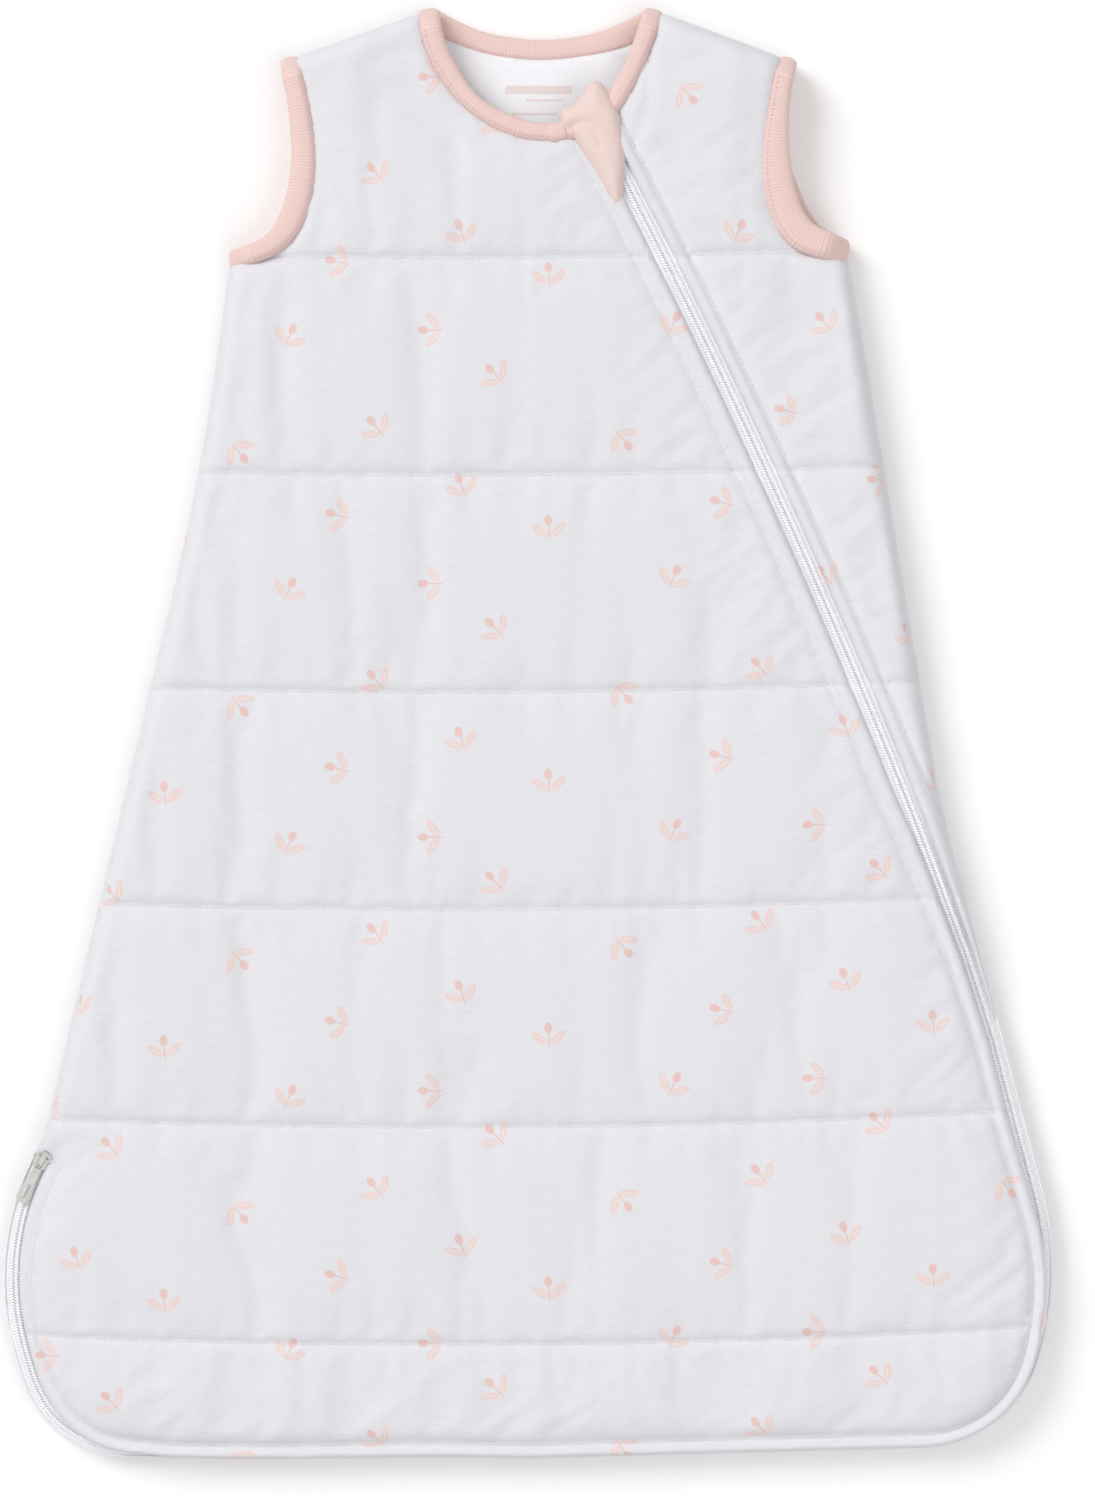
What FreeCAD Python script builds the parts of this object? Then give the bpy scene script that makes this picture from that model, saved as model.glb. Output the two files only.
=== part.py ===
"""Baby sleeping bag, laid flat on its back and zipped up.

Millimetres. +X is to the right as the front is looked at, +Y runs towards the neck, +Z is up.
The origin is the middle of the bag's box, on the surface that it lies on.
"""
import FreeCAD, Part

import math
import os

Vector = FreeCAD.Vector
UP = Vector(0, 0, 1)

# ---- Overall size ----
LENGTH = 700.0
WIDTH = 506.0
TOP = LENGTH / 2
HALF_WIDTH = WIDTH / 2

# ---- Fabric layers, from the outside in ----
SHELL = 0.8
WADDING = 6.0
LINING = 0.7
QUILT = SHELL + WADDING + LINING

# ---- Heights when the bag lies flat ----
FRONT_TOP = 24.0          # top of the front quilt
SEAM_LIP = 1.4            # the front's height where it is sewn to the back
SLOPE_WIDTH = 16.0        # the front rises from the seam to its full height over this
HAIR = 0.01               # the front's foot stands this far inside the back's edge
BINDING_PROUD = 0.5       # the ribbed binding stands above the quilt by this

# ---- Zip ----
ZIP_HALF = 5.2            # centre line to the edge of the fabric beside it
MESH_GAP = 0.15           # centre line to each coil
TAPE = 0.6
COIL_WIDTH = 2.75
COIL_HEIGHT = 2.0
EDGE_STRIP = 0.8          # the back's turned edge, outside the zip
ZIP_HIGH = 19.6           # middle of the tape between neck and hip
ZIP_LOW = 11.6            # middle of the tape round the hem
RAMP_TOP_Y = -22.0
RAMP_END_Y = -118.0
ZIP_START = Vector(33.6, 290.2, 0)     # the closed upper slider's centre
ZIP_MERGE = Vector(219.1, -130.0, 0)   # where the zip reaches the side
ZIP_BULGE = 7.5
ZIP_ABOVE = 9.0           # zip above the closed slider's centre
LAPEL_TIP = 305.0         # along the zip, where the opening edge folds no further
LAPEL_START = Vector(-16.0, 300.0, 0)
FOLD_GAP = 0.2

STOP_LENGTH = 2.0
STOP_HEIGHT = 0.8
STOP_LIFT = 0.05          # the stops stand clear of the coils by this
TOP_STOP_HALVES = (0.4, 2.9)
END_STOP_HALF = 3.4
END_STOP_DEGREES = 0.6

# ---- Sliders. Along +X at the origin, the mouth that takes the open zip is at -X ----
SLIDER_LENGTH = 12.0
SLIDER_HALF = 3.9
NOSE_BULGE = 2.5          # the plate's rounded front
TAIL_BULGE = 1.5          # and its flatter back
PLATE = 1.2
PLATE_UNDER = -0.8        # upper face of the lower plate, from the middle of the tape
PLATE_OVER = 2.6          # lower face of the upper plate
FLANGE = 0.8
FLANGE_FROM = -3.0
FLANGE_TO = 3.5
WEDGE_TAIL = -5.2
WEDGE_WIDEST = -3.8
WEDGE_TIP = -1.6
WEDGE_HALF = 1.0
WEDGE_ROOM = 0.3
CROWN_HALF = 1.3
CROWN_FROM = -4.0
CROWN_TO = 4.2
CROWN_TOP = 6.6
CROWN_WINDOW_HALF = 1.5   # the puller's cross bar passes through this window
CROWN_WINDOW_ROOM = 0.3
CROWN_ROUNDING = 1.0
PIVOT_HEIGHT = 4.8
PIVOT_RADIUS = 0.6

# ---- Puller tabs ----
TAB_LENGTH = 24.0
TAB_HALF = 3.0
TAB_SHOULDER = 2.6
TAB_NECK = 1.9
TAB_NECK_AT = 7.5
TAB_WINDOW = 5.4
TAB_WINDOW_HALF = 1.6
TAB_SLOT = (15.0, 20.0)
TAB_SLOT_HALF = 1.1

# ---- Outline: rounded lower corners ----
LEFT_CURVE = Vector(-124.4, -263.2, 0)   # centre of the bulging lower left side
LEFT_CURVE_R = HALF_WIDTH + LEFT_CURVE.x
LEFT_CURVE_FROM = 148.3                  # degrees, at the zip's end
LEFT_CURVE_TO = 201.8
LOWER_SLIDER_BELOW = 3.5                 # degrees from the zip's end to the closed lower slider
LEFT_CORNER_R = 56.5
RIGHT_CURVE_R = 150.0
RIGHT_CURVE = Vector(HALF_WIDTH - RIGHT_CURVE_R, -258.0, 0)
RIGHT_CURVE_TO = -17.0
RIGHT_CORNER_R = 60.9

# ---- Outline: neck, shoulders, sides and hem ----
NECK_LEFT = Vector(-45.6, TOP, 0)
NECK_RIGHT = Vector(59.0, TOP, 0)
SHOULDER_LEFT = Vector(-133.0, 319.3, 0)
SHOULDER_RIGHT = Vector(139.7, 320.0, 0)
WAIST_LEFT = Vector(-155.8, 133.9, 0)    # where the two straight runs of a side would meet
WAIST_RIGHT = Vector(199.2, -34.3, 0)
WAIST_LEFT_R = 1200.0
WAIST_RIGHT_R = 600.0
ZIP_END = Vector(-233.8, -195.6, 0)      # the left side runs straight to here, then bulges
NOTCH_R = 20.0
HEM_MIDDLE = Vector(0, -TOP, 0)
FAR = 500.0

# Neck and armhole curves, as the few points that their shape needs
NECK_EDGE = [(-43.5, 353), (-41.5, 337), (-35.5, 321.8), (-21, 302.6), (7, 291.6),
             (32, 297.5), (45, 317), (53.8, 339.6), (57, 353)]
NECK_SEAM = [(-53.5, 353), (-50.9, 335), (-45.5, 320.5), (-31.7, 301.2), (-10, 287.2),
             (14, 284), (36, 291), (51, 311.5), (62.5, 339), (66.5, 353)]
BACK_NECK_EDGE = [(-49, 353), (6.7, 334.8), (62.4, 353)]
BACK_NECK_SEAM = [(-61, 353), (6.7, 324.5), (74.4, 353)]
ARMHOLE_LEFT_EDGE = [(-122, 336), (-119, 323), (-113.8, 295.4), (-112.8, 270),
                     (-119, 246), (-131, 234.5), (-152, 231.5)]
ARMHOLE_LEFT_SEAM = [(-113, 338), (-110.5, 325), (-104.6, 296.4), (-102.9, 268),
                     (-109.5, 243), (-124, 228.3), (-152, 221.5)]
ARMHOLE_RIGHT_EDGE = [(132.5, 338), (129.6, 324), (125.3, 304.6), (124.2, 280),
                      (127.7, 256), (138, 242.5), (164, 233.5)]
ARMHOLE_RIGHT_SEAM = [(123.5, 340), (121.2, 327), (117.2, 308), (113.7, 276),
                      (117.3, 250.5), (130, 231.5), (164, 223.5)]

# ---- Zip guard ----
GUARD_HEIGHT = 26.9
GUARD_FACE = 1.3
GUARD_BACKING = 0.9
GUARD_TOP = (15.4, 298)
GUARD_HINGE = (15.4, 291)
GUARD_TIP = (42.4, 251.9)
GUARD_CURVE = [GUARD_TIP, (45.8, 262), (46.2, 277), (43, 297), (37.5, 308.5), (33, 312.2),
               (28, 309.5), (22.5, 301.5), GUARD_TOP]


# ---- Small geometry helpers ----

def line(a, b):
    return Part.makeLine(a, b)


def arc(a, middle, b):
    return Part.Arc(a, middle, b).toShape()


def polar(centre, radius, degrees):
    angle = math.radians(degrees)
    return centre + Vector(radius * math.cos(angle), radius * math.sin(angle), 0)


def centred_arc(centre, radius, start, end):
    return arc(polar(centre, radius, start), polar(centre, radius, (start + end) / 2),
               polar(centre, radius, end))


def spline(points):
    curve = Part.BSplineCurve()
    curve.interpolate([Vector(x, y, 0) for x, y in points])
    return curve.toShape()


def face(edges):
    return Part.Face(Part.Wire(Part.__sortEdges__(edges)))


def polygon(points):
    return Part.Face(Part.makePolygon(list(points) + [points[0]]))


def prism(plan, low, high):
    block = plan.copy()
    block.translate(Vector(0, 0, low))
    return block.extrude(Vector(0, 0, high - low))


def raised(shape, height):
    copy = shape.copy()
    copy.translate(Vector(0, 0, height))
    return copy


def box(x0, x1, y0, y1, z0, z1):
    return Part.makeBox(x1 - x0, y1 - y0, z1 - z0, Vector(x0, y0, z0))


def joined(shapes):
    return shapes[0].fuse(shapes[1:]).removeSplitter()


def closed_region(points, corners):
    """A plan region between a curve and the straight lines through the corners."""
    ends = [Vector(*points[-1], 0)] + [Vector(x, y, 0) for x, y in corners] + [Vector(*points[0], 0)]
    edges = [spline(points)]
    for start, end in zip(ends, ends[1:]):
        edges.append(line(start, end))
    return face(edges)


# ---- Plan of the whole bag ----

def corner_centre(centre, radius, degrees, corner_radius):
    """Centre of the tighter corner that carries on from a side's curve."""
    return polar(centre, radius - corner_radius, degrees)


def rounded(before, corner, after, radius):
    """Arc that rounds the corner between two straight runs."""
    back = (before - corner).normalize()
    on = (after - corner).normalize()
    half = back.getAngle(on) / 2
    to_centre = (back + on).normalize()
    middle = corner + to_centre * (radius / math.sin(half) - radius)
    reach = radius / math.tan(half)
    return corner + back * reach, middle, corner + on * reach


def tangent_point(point, centre, radius, side):
    """Where the straight line from a point touches a circle, on one side of it or the other."""
    away = point - centre
    swing = math.degrees(math.acos(radius / away.Length))
    return polar(centre, radius, math.degrees(math.atan2(away.y, away.x)) + side * swing)


def notch(start, end, radius):
    """Concave arc where a straight side, from start to end, meets the bulging curve below it."""
    along = (end - start).normalize()
    outward = Vector(along.y, -along.x, 0)
    base = start + outward * radius - LEFT_CURVE
    half = base.dot(along)
    reach = LEFT_CURVE_R + radius
    travel = -half - math.sqrt(half ** 2 - base.dot(base) + reach ** 2)
    centre = LEFT_CURVE + base + along * travel
    on_side = centre - outward * radius
    on_curve = LEFT_CURVE + (centre - LEFT_CURVE) * (LEFT_CURVE_R / reach)
    towards = (on_side + on_curve) * 0.5 - centre
    return on_side, centre + towards.normalize() * radius, on_curve


def degrees_about(centre, point):
    return math.degrees(math.atan2(point.y - centre.y, point.x - centre.x)) % 360


def outline():
    """The bag's edge in plan, before neck and armholes are cut. Its runs meet smoothly below the arms."""
    left_corner = corner_centre(LEFT_CURVE, LEFT_CURVE_R, LEFT_CURVE_TO, LEFT_CORNER_R)
    right_corner = corner_centre(RIGHT_CURVE, RIGHT_CURVE_R, RIGHT_CURVE_TO, RIGHT_CORNER_R)
    right_touch = tangent_point(WAIST_RIGHT, RIGHT_CURVE, RIGHT_CURVE_R, -1)
    hem_right = tangent_point(HEM_MIDDLE, right_corner, RIGHT_CORNER_R, 1)
    hem_left = tangent_point(HEM_MIDDLE, left_corner, LEFT_CORNER_R, -1)
    right_waist = rounded(SHOULDER_RIGHT, WAIST_RIGHT, right_touch, WAIST_RIGHT_R)
    left_waist = rounded(SHOULDER_LEFT, WAIST_LEFT, ZIP_END, WAIST_LEFT_R)
    zip_notch = notch(WAIST_LEFT, ZIP_END, NOTCH_R)
    return face([
        line(NECK_LEFT, NECK_RIGHT),
        line(NECK_RIGHT, SHOULDER_RIGHT),
        line(SHOULDER_RIGHT, right_waist[0]),
        arc(*right_waist),
        line(right_waist[2], right_touch),
        centred_arc(RIGHT_CURVE, RIGHT_CURVE_R, degrees_about(RIGHT_CURVE, right_touch), RIGHT_CURVE_TO),
        centred_arc(right_corner, RIGHT_CORNER_R, RIGHT_CURVE_TO,
                    degrees_about(right_corner, hem_right) - 360),
        line(hem_right, HEM_MIDDLE),
        line(HEM_MIDDLE, hem_left),
        centred_arc(left_corner, LEFT_CORNER_R, degrees_about(left_corner, hem_left), LEFT_CURVE_TO),
        centred_arc(LEFT_CURVE, LEFT_CURVE_R, LEFT_CURVE_TO, degrees_about(LEFT_CURVE, zip_notch[2])),
        arc(*zip_notch),
        line(zip_notch[0], left_waist[2]),
        arc(*left_waist),
        line(left_waist[0], SHOULDER_LEFT),
        line(SHOULDER_LEFT, NECK_LEFT),
    ])


def inset(plan, distance):
    """The plan made smaller all round."""
    return Part.Face(plan.OuterWire.makeOffset2D(-distance))


# ---- The zip's diagonal run, an arc of very large radius ----

ZIP_CHORD = ZIP_MERGE - ZIP_START
ZIP_CHORD_LENGTH = ZIP_CHORD.Length
ZIP_RADIUS = ZIP_CHORD_LENGTH ** 2 / (8 * ZIP_BULGE) + ZIP_BULGE / 2
ZIP_OUTWARD = Vector(-ZIP_CHORD.y, ZIP_CHORD.x, 0).normalize()
ZIP_CENTRE = (ZIP_START + ZIP_MERGE) * 0.5 + ZIP_OUTWARD * (ZIP_BULGE - ZIP_RADIUS)
ZIP_START_ANGLE = math.degrees(math.atan2(ZIP_START.y - ZIP_CENTRE.y, ZIP_START.x - ZIP_CENTRE.x))
ZIP_LENGTH = 2 * ZIP_RADIUS * math.asin(ZIP_CHORD_LENGTH / (2 * ZIP_RADIUS))


def zip_angle(along):
    return ZIP_START_ANGLE - math.degrees(along / ZIP_RADIUS)


def zip_point(along, aside=0.0):
    """A point on the diagonal zip; aside is positive to the right of its centre line."""
    return polar(ZIP_CENTRE, ZIP_RADIUS + aside, zip_angle(along))


def zip_direction(along):
    angle = math.radians(zip_angle(along))
    return Vector(math.sin(angle), -math.cos(angle), 0)


def zip_band(left, right, start, end):
    """Plan of the strip between two offsets of the diagonal zip."""
    middle = (start + end) / 2
    return face([
        arc(zip_point(start, left), zip_point(middle, left), zip_point(end, left)),
        line(zip_point(end, left), zip_point(end, right)),
        arc(zip_point(end, right), zip_point(middle, right), zip_point(start, right)),
        line(zip_point(start, right), zip_point(start, left)),
    ])


def hem_zone():
    """Plan of all that the zip follows along the lower right side, the hem and the lower left."""
    across = Vector(-zip_direction(ZIP_LENGTH).y, zip_direction(ZIP_LENGTH).x, 0)
    return polygon([
        polar(LEFT_CURVE, LEFT_CURVE_R - 40, LEFT_CURVE_FROM),
        polar(LEFT_CURVE, LEFT_CURVE_R + 60, LEFT_CURVE_FROM),
        Vector(-FAR, -195, 0),
        Vector(-FAR, -FAR, 0),
        Vector(FAR, -FAR, 0),
        ZIP_MERGE + across * FAR,
        ZIP_MERGE - across * 30,
    ])


def hem_band(outer, inner, low, high):
    """Solid strip that follows the outline between two insets, where the zip runs along it."""
    ring = prism(inset(PLAN, outer) if outer else PLAN, low, high)
    ring = ring.cut(prism(inset(PLAN, inner), low - 1, high + 1))
    return ring.common(prism(hem_zone(), low, high))


def zip_slab(low, high):
    """All that lies between two heights measured from the tape's middle, down the zip's ramp."""
    levels = [(FAR, ZIP_HIGH), (RAMP_TOP_Y, ZIP_HIGH), (RAMP_END_Y, ZIP_LOW), (-FAR, ZIP_LOW)]
    under = [Vector(-FAR, y, z + low) for y, z in levels]
    over = [Vector(-FAR, y, z + high) for y, z in reversed(levels)]
    return polygon(under + over).extrude(Vector(2 * FAR, 0, 0))


# ---- Regions that the front is cut into ----

PLAN = outline()
BASE = QUILT              # the front begins on top of the back
SKY = FRONT_TOP + 10


def tray():
    """The front's outer form: it rises from the seam and is flat across the middle."""
    edge = inset(PLAN, HAIR)
    skirt = prism(edge, BASE, BASE + SEAM_LIP)
    lip = raised(edge.OuterWire, BASE + SEAM_LIP)
    top = raised(inset(PLAN, SLOPE_WIDTH).OuterWire, FRONT_TOP)
    return skirt.fuse(Part.makeLoft([lip, top], True, True))


def sunk(shape, depth):
    return raised(shape, -depth)


def neck_hole(points):
    return closed_region(points, [(points[-1][0], 400), (points[0][0], 400)])


def armhole(points, side):
    far = side * 300
    return closed_region(points, [(far, points[-1][1]), (far, points[0][1])])


def left_of_zip():
    """Plan of all to the left of the zip's opening edge."""
    top = zip_point(-100, -ZIP_HALF)
    end = zip_point(ZIP_LENGTH + 60, -ZIP_HALF)
    return face([
        arc(top, zip_point(ZIP_LENGTH / 2, -ZIP_HALF), end),
        line(end, Vector(FAR, end.y, 0)),
        line(Vector(FAR, end.y, 0), Vector(FAR, -FAR, 0)),
        line(Vector(FAR, -FAR, 0), Vector(-FAR, -FAR, 0)),
        line(Vector(-FAR, -FAR, 0), Vector(-FAR, top.y, 0)),
        line(Vector(-FAR, top.y, 0), top),
    ])


def right_of_zip():
    """Plan of all to the right of the zip, down to just above where the zip meets the side."""
    top = zip_point(-100, ZIP_HALF)
    end = zip_point(ZIP_LENGTH - 28, ZIP_HALF)
    return face([
        arc(top, zip_point(ZIP_LENGTH / 2, ZIP_HALF), end),
        line(end, Vector(FAR, end.y, 0)),
        line(Vector(FAR, end.y, 0), Vector(FAR, top.y, 0)),
        line(Vector(FAR, top.y, 0), top),
    ])


LAPEL_END = zip_point(LAPEL_TIP, -ZIP_HALF)
FOLD = (LAPEL_END - LAPEL_START).normalize()
FOLD_ASIDE = Vector(-FOLD.y, FOLD.x, 0)


def lapel_zone(gap):
    """Plan of all on the zip's side of the fold line, below its start at the neck."""
    start = LAPEL_START - FOLD * gap
    return polygon([
        start + FOLD_ASIDE * gap,
        start + FOLD * FAR + FOLD_ASIDE * gap,
        start + FOLD * FAR + FOLD_ASIDE * FAR,
        start + FOLD_ASIDE * FAR,
    ])


def layer(region, outer_depth, inner_depth):
    """One layer of the front quilt over a region, between two depths below its top."""
    return region.common(sunk(TRAY, outer_depth)).cut(sunk(TRAY, inner_depth))


TRAY = tray()
NECK_OPENING = prism(neck_hole(NECK_EDGE), -5, SKY)
NECK_OPENING_SEAM = prism(neck_hole(NECK_SEAM), -5, SKY)
ARMHOLES = {
    "left": [prism(armhole(curve, -1), -5, SKY) for curve in (ARMHOLE_LEFT_EDGE, ARMHOLE_LEFT_SEAM)],
    "right": [prism(armhole(curve, 1), -5, SKY) for curve in (ARMHOLE_RIGHT_EDGE, ARMHOLE_RIGHT_SEAM)],
}


def without_holes(block, neck_seam):
    for cutter in [neck_seam, ARMHOLES["left"][1], ARMHOLES["right"][1]]:
        block = block.cut(cutter)
    return block


# ---- Fabric panels ----

def back_panel():
    """The back quilt, flat on the surface."""
    neck = prism(neck_hole(BACK_NECK_SEAM), -5, SKY)
    plan = without_holes(prism(PLAN, 0, QUILT), neck)
    levels = {"shell": (0, SHELL), "wadding": (SHELL, SHELL + WADDING), "lining": (SHELL + WADDING, QUILT)}
    parts = {}
    for name, (low, high) in levels.items():
        parts["back_" + name] = plan.common(box(-FAR, FAR, -FAR, FAR, low, high))
    return parts


def front_region(plan_side):
    region = prism(plan_side, BASE, SKY).common(prism(PLAN, BASE, SKY))
    region = region.cut(hem_band(0, 2 * ZIP_HALF, BASE - 1, SKY + 1))
    return without_holes(region, NECK_OPENING_SEAM)


def front_layers(prefix, region):
    depths = {"shell": (0, SHELL), "wadding": (SHELL, SHELL + WADDING), "lining": (SHELL + WADDING, QUILT)}
    parts = {}
    for name, (outer, inner) in depths.items():
        parts[prefix + "_" + name] = layer(region, outer, inner)
    return parts


def front_panels():
    """The front quilt: its left part, the edge that folds back when unzipped, and its right part."""
    left = front_region(left_of_zip())
    fixed = left.cut(prism(lapel_zone(-FOLD_GAP), BASE - 1, SKY + 1))
    lapel = left.common(prism(lapel_zone(FOLD_GAP), BASE - 1, SKY + 1))
    parts = front_layers("front_left", fixed)
    parts.update(front_layers("lapel", lapel))
    parts.update(front_layers("front_right", front_region(right_of_zip())))
    return parts


def front_ring(hole, seam):
    """The front half of a binding: it grips the quilt's edge and stands a little proud of it."""
    base = QUILT + BINDING_PROUD
    ring = seam.cut(hole).common(prism(PLAN, base, SKY))
    return ring.common(raised(TRAY, BINDING_PROUD)).cut(sunk(TRAY, QUILT + BINDING_PROUD))


def back_ring(hole, seam):
    ring = seam.cut(hole).common(prism(PLAN, 0, QUILT + BINDING_PROUD))
    return ring


def armhole_bindings():
    parts = {}
    for side, (hole, seam) in ARMHOLES.items():
        parts["armhole_binding_" + side] = joined([back_ring(hole, seam), front_ring(hole, seam)])
    return parts


def neck_bindings():
    """The neck binding, in two nodes because one end of it folds back with the lapel."""
    front = front_ring(NECK_OPENING, NECK_OPENING_SEAM)
    left = front.common(prism(left_of_zip(), BASE, SKY))
    right = front.common(prism(right_of_zip(), BASE, SKY))
    lapel = left.common(prism(lapel_zone(FOLD_GAP), BASE - 1, SKY + 1))
    left = left.cut(prism(lapel_zone(-FOLD_GAP), BASE - 1, SKY + 1))
    back_hole = prism(neck_hole(BACK_NECK_EDGE), -5, SKY)
    back = back_ring(back_hole, prism(neck_hole(BACK_NECK_SEAM), -5, SKY))
    return {"neck_binding": joined([back, left, right]), "neck_binding_lapel": lapel}


# ---- Zip ----

def place(shape, point, direction, height):
    """Put a shape made along +X at the origin onto the zip."""
    copy = shape.copy()
    copy.rotate(Vector(0, 0, 0), UP, math.degrees(math.atan2(direction.y, direction.x)))
    copy.translate(Vector(point.x, point.y, height))
    return copy


LOWER_SLIDER_ANGLE = LEFT_CURVE_FROM + LOWER_SLIDER_BELOW
LOWER_PATH_R = LEFT_CURVE_R - ZIP_HALF
LOWER_POINT = polar(LEFT_CURVE, LOWER_PATH_R, LOWER_SLIDER_ANGLE)
LOWER_DIRECTION = Vector(-math.sin(math.radians(LOWER_SLIDER_ANGLE)),
                         math.cos(math.radians(LOWER_SLIDER_ANGLE)), 0)


def wedge(grow):
    """The post that parts the two tapes inside a slider, near its mouth."""
    half = WEDGE_HALF + grow
    plan = polygon([
        Vector(WEDGE_TAIL - grow, 0, 0),
        Vector(WEDGE_WIDEST, -half, 0),
        Vector(WEDGE_TIP + grow, 0, 0),
        Vector(WEDGE_WIDEST, half, 0),
    ])
    return prism(plan, PLATE_UNDER, PLATE_OVER)


def slider_plan():
    """Outline of a slider's plates, with bulging ends."""
    half = SLIDER_LENGTH / 2
    tail = TAIL_BULGE - half
    nose = half - NOSE_BULGE
    return face([
        arc(Vector(tail, SLIDER_HALF, 0), Vector(-half, 0, 0), Vector(tail, -SLIDER_HALF, 0)),
        line(Vector(tail, -SLIDER_HALF, 0), Vector(nose, -SLIDER_HALF, 0)),
        arc(Vector(nose, -SLIDER_HALF, 0), Vector(half, 0, 0), Vector(nose, SLIDER_HALF, 0)),
        line(Vector(nose, SLIDER_HALF, 0), Vector(tail, SLIDER_HALF, 0)),
    ])


def slider_crown():
    """The bridge on a slider that holds its puller."""
    base = PLATE_OVER + PLATE
    crown = box(CROWN_FROM, CROWN_TO, -CROWN_HALF, CROWN_HALF, base, CROWN_TOP)
    window_top = PIVOT_HEIGHT + PIVOT_RADIUS + CROWN_WINDOW_ROOM
    crown = crown.cut(box(-CROWN_WINDOW_HALF, CROWN_WINDOW_HALF, -FAR, FAR, base - 1, window_top))
    ends = []
    for edge in crown.Edges:
        if edge.BoundBox.ZMin > CROWN_TOP - HAIR and edge.BoundBox.XLength < HAIR:
            ends.append(edge)
    return crown.makeFillet(CROWN_ROUNDING, ends)


def slider_body():
    plates = slider_plan()
    lower = prism(plates, PLATE_UNDER - PLATE, PLATE_UNDER)
    upper = prism(plates, PLATE_OVER, PLATE_OVER + PLATE)
    flanges = []
    for side in (-1, 1):
        low, high = sorted((side * (SLIDER_HALF - FLANGE), side * SLIDER_HALF))
        flanges.append(box(FLANGE_FROM, FLANGE_TO, low, high, PLATE, PLATE_OVER))
    return joined([lower, upper, wedge(0.0), slider_crown()] + flanges)


def puller_tab():
    """Flat teardrop tab on a cross bar that turns inside the slider's crown."""
    tip = TAB_LENGTH - TAB_HALF
    plan = face([
        line(Vector(0, -TAB_SHOULDER, 0), Vector(TAB_NECK_AT, -TAB_NECK, 0)),
        line(Vector(TAB_NECK_AT, -TAB_NECK, 0), Vector(tip, -TAB_HALF, 0)),
        arc(Vector(tip, -TAB_HALF, 0), Vector(TAB_LENGTH, 0, 0), Vector(tip, TAB_HALF, 0)),
        line(Vector(tip, TAB_HALF, 0), Vector(TAB_NECK_AT, TAB_NECK, 0)),
        line(Vector(TAB_NECK_AT, TAB_NECK, 0), Vector(0, TAB_SHOULDER, 0)),
        line(Vector(0, TAB_SHOULDER, 0), Vector(0, -TAB_SHOULDER, 0)),
    ])
    low = PIVOT_HEIGHT - PIVOT_RADIUS
    high = PIVOT_HEIGHT + PIVOT_RADIUS
    tab = prism(plan, low, high)
    tab = tab.cut(box(-1, TAB_WINDOW, -TAB_WINDOW_HALF, TAB_WINDOW_HALF, low - 1, high + 1))
    tab = tab.cut(box(*TAB_SLOT, -TAB_SLOT_HALF, TAB_SLOT_HALF, low - 1, high + 1))
    for end in TAB_SLOT:
        tab = tab.cut(Part.makeCylinder(TAB_SLOT_HALF, high - low + 2, Vector(end, 0, low - 1)))
    bar = Part.makeCylinder(PIVOT_RADIUS, 2 * TAB_SHOULDER, Vector(0, -TAB_SHOULDER, PIVOT_HEIGHT),
                            Vector(0, 1, 0))
    return joined([tab, bar])


def sliders():
    body = slider_body()
    tab = puller_tab()
    upper_way = zip_direction(0)
    return {
        "upper_slider_body": place(body, ZIP_START, upper_way, ZIP_HIGH),
        "upper_puller_tab": place(tab, ZIP_START, upper_way, ZIP_HIGH),
        "lower_slider_body": place(body, LOWER_POINT, LOWER_DIRECTION, ZIP_LOW),
        "lower_puller_tab": place(tab, LOWER_POINT, LOWER_DIRECTION, ZIP_LOW),
    }


def zip_clearances():
    """Room in tapes and coils for the two sliders' wedges."""
    room = wedge(WEDGE_ROOM)
    upper = place(room, ZIP_START, zip_direction(0), ZIP_HIGH)
    lower = place(room, LOWER_POINT, LOWER_DIRECTION, ZIP_LOW)
    return upper, lower


def zip_strip(near, far, slab, start, end):
    """A strip of the diagonal zip, on the right of its centre line, or the left if far is negative."""
    plan = zip_band(min(near, far), max(near, far), start, end)
    return prism(plan, 0, SKY).common(slab)


def lower_strip(near, far, slab, clearance):
    """The same strip from the lapel's tip to the zip's end, round the hem."""
    side = -1 if far < 0 else 1
    diagonal_start = LAPEL_TIP if side < 0 else -ZIP_ABOVE
    diagonal = zip_strip(near, far, slab, diagonal_start, ZIP_LENGTH)
    diagonal = diagonal.common(prism(PLAN, 0, SKY)).cut(prism(hem_zone(), 0, SKY))
    outer, inner = sorted((ZIP_HALF - near, ZIP_HALF - far))
    around = hem_band(max(outer, EDGE_STRIP), inner, 0, SKY).common(slab)
    strip = joined([diagonal, around])
    for room in clearance:
        strip = strip.cut(room)
    return strip


def zip_parts():
    tape = zip_slab(-TAPE / 2, TAPE / 2)
    coil = zip_slab(TAPE / 2, TAPE / 2 + COIL_HEIGHT)
    rooms = zip_clearances()
    coil_far = MESH_GAP + COIL_WIDTH
    parts = {
        "zip_tape_left": lower_strip(-MESH_GAP, -ZIP_HALF, tape, rooms),
        "zip_tape_right": lower_strip(MESH_GAP, ZIP_HALF, tape, rooms),
        "zip_coil_left": lower_strip(-MESH_GAP, -coil_far, coil, rooms),
        "zip_coil_right": lower_strip(MESH_GAP, coil_far, coil, rooms),
    }
    upper_tape = zip_strip(-MESH_GAP, -ZIP_HALF, tape, -ZIP_ABOVE, LAPEL_TIP - FOLD_GAP)
    upper_coil = zip_strip(-MESH_GAP, -coil_far, coil, -ZIP_ABOVE, LAPEL_TIP - FOLD_GAP)
    parts["zip_tape_lapel"] = upper_tape.cut(rooms[0])
    parts["zip_coil_lapel"] = upper_coil.cut(rooms[0])
    return parts


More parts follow.
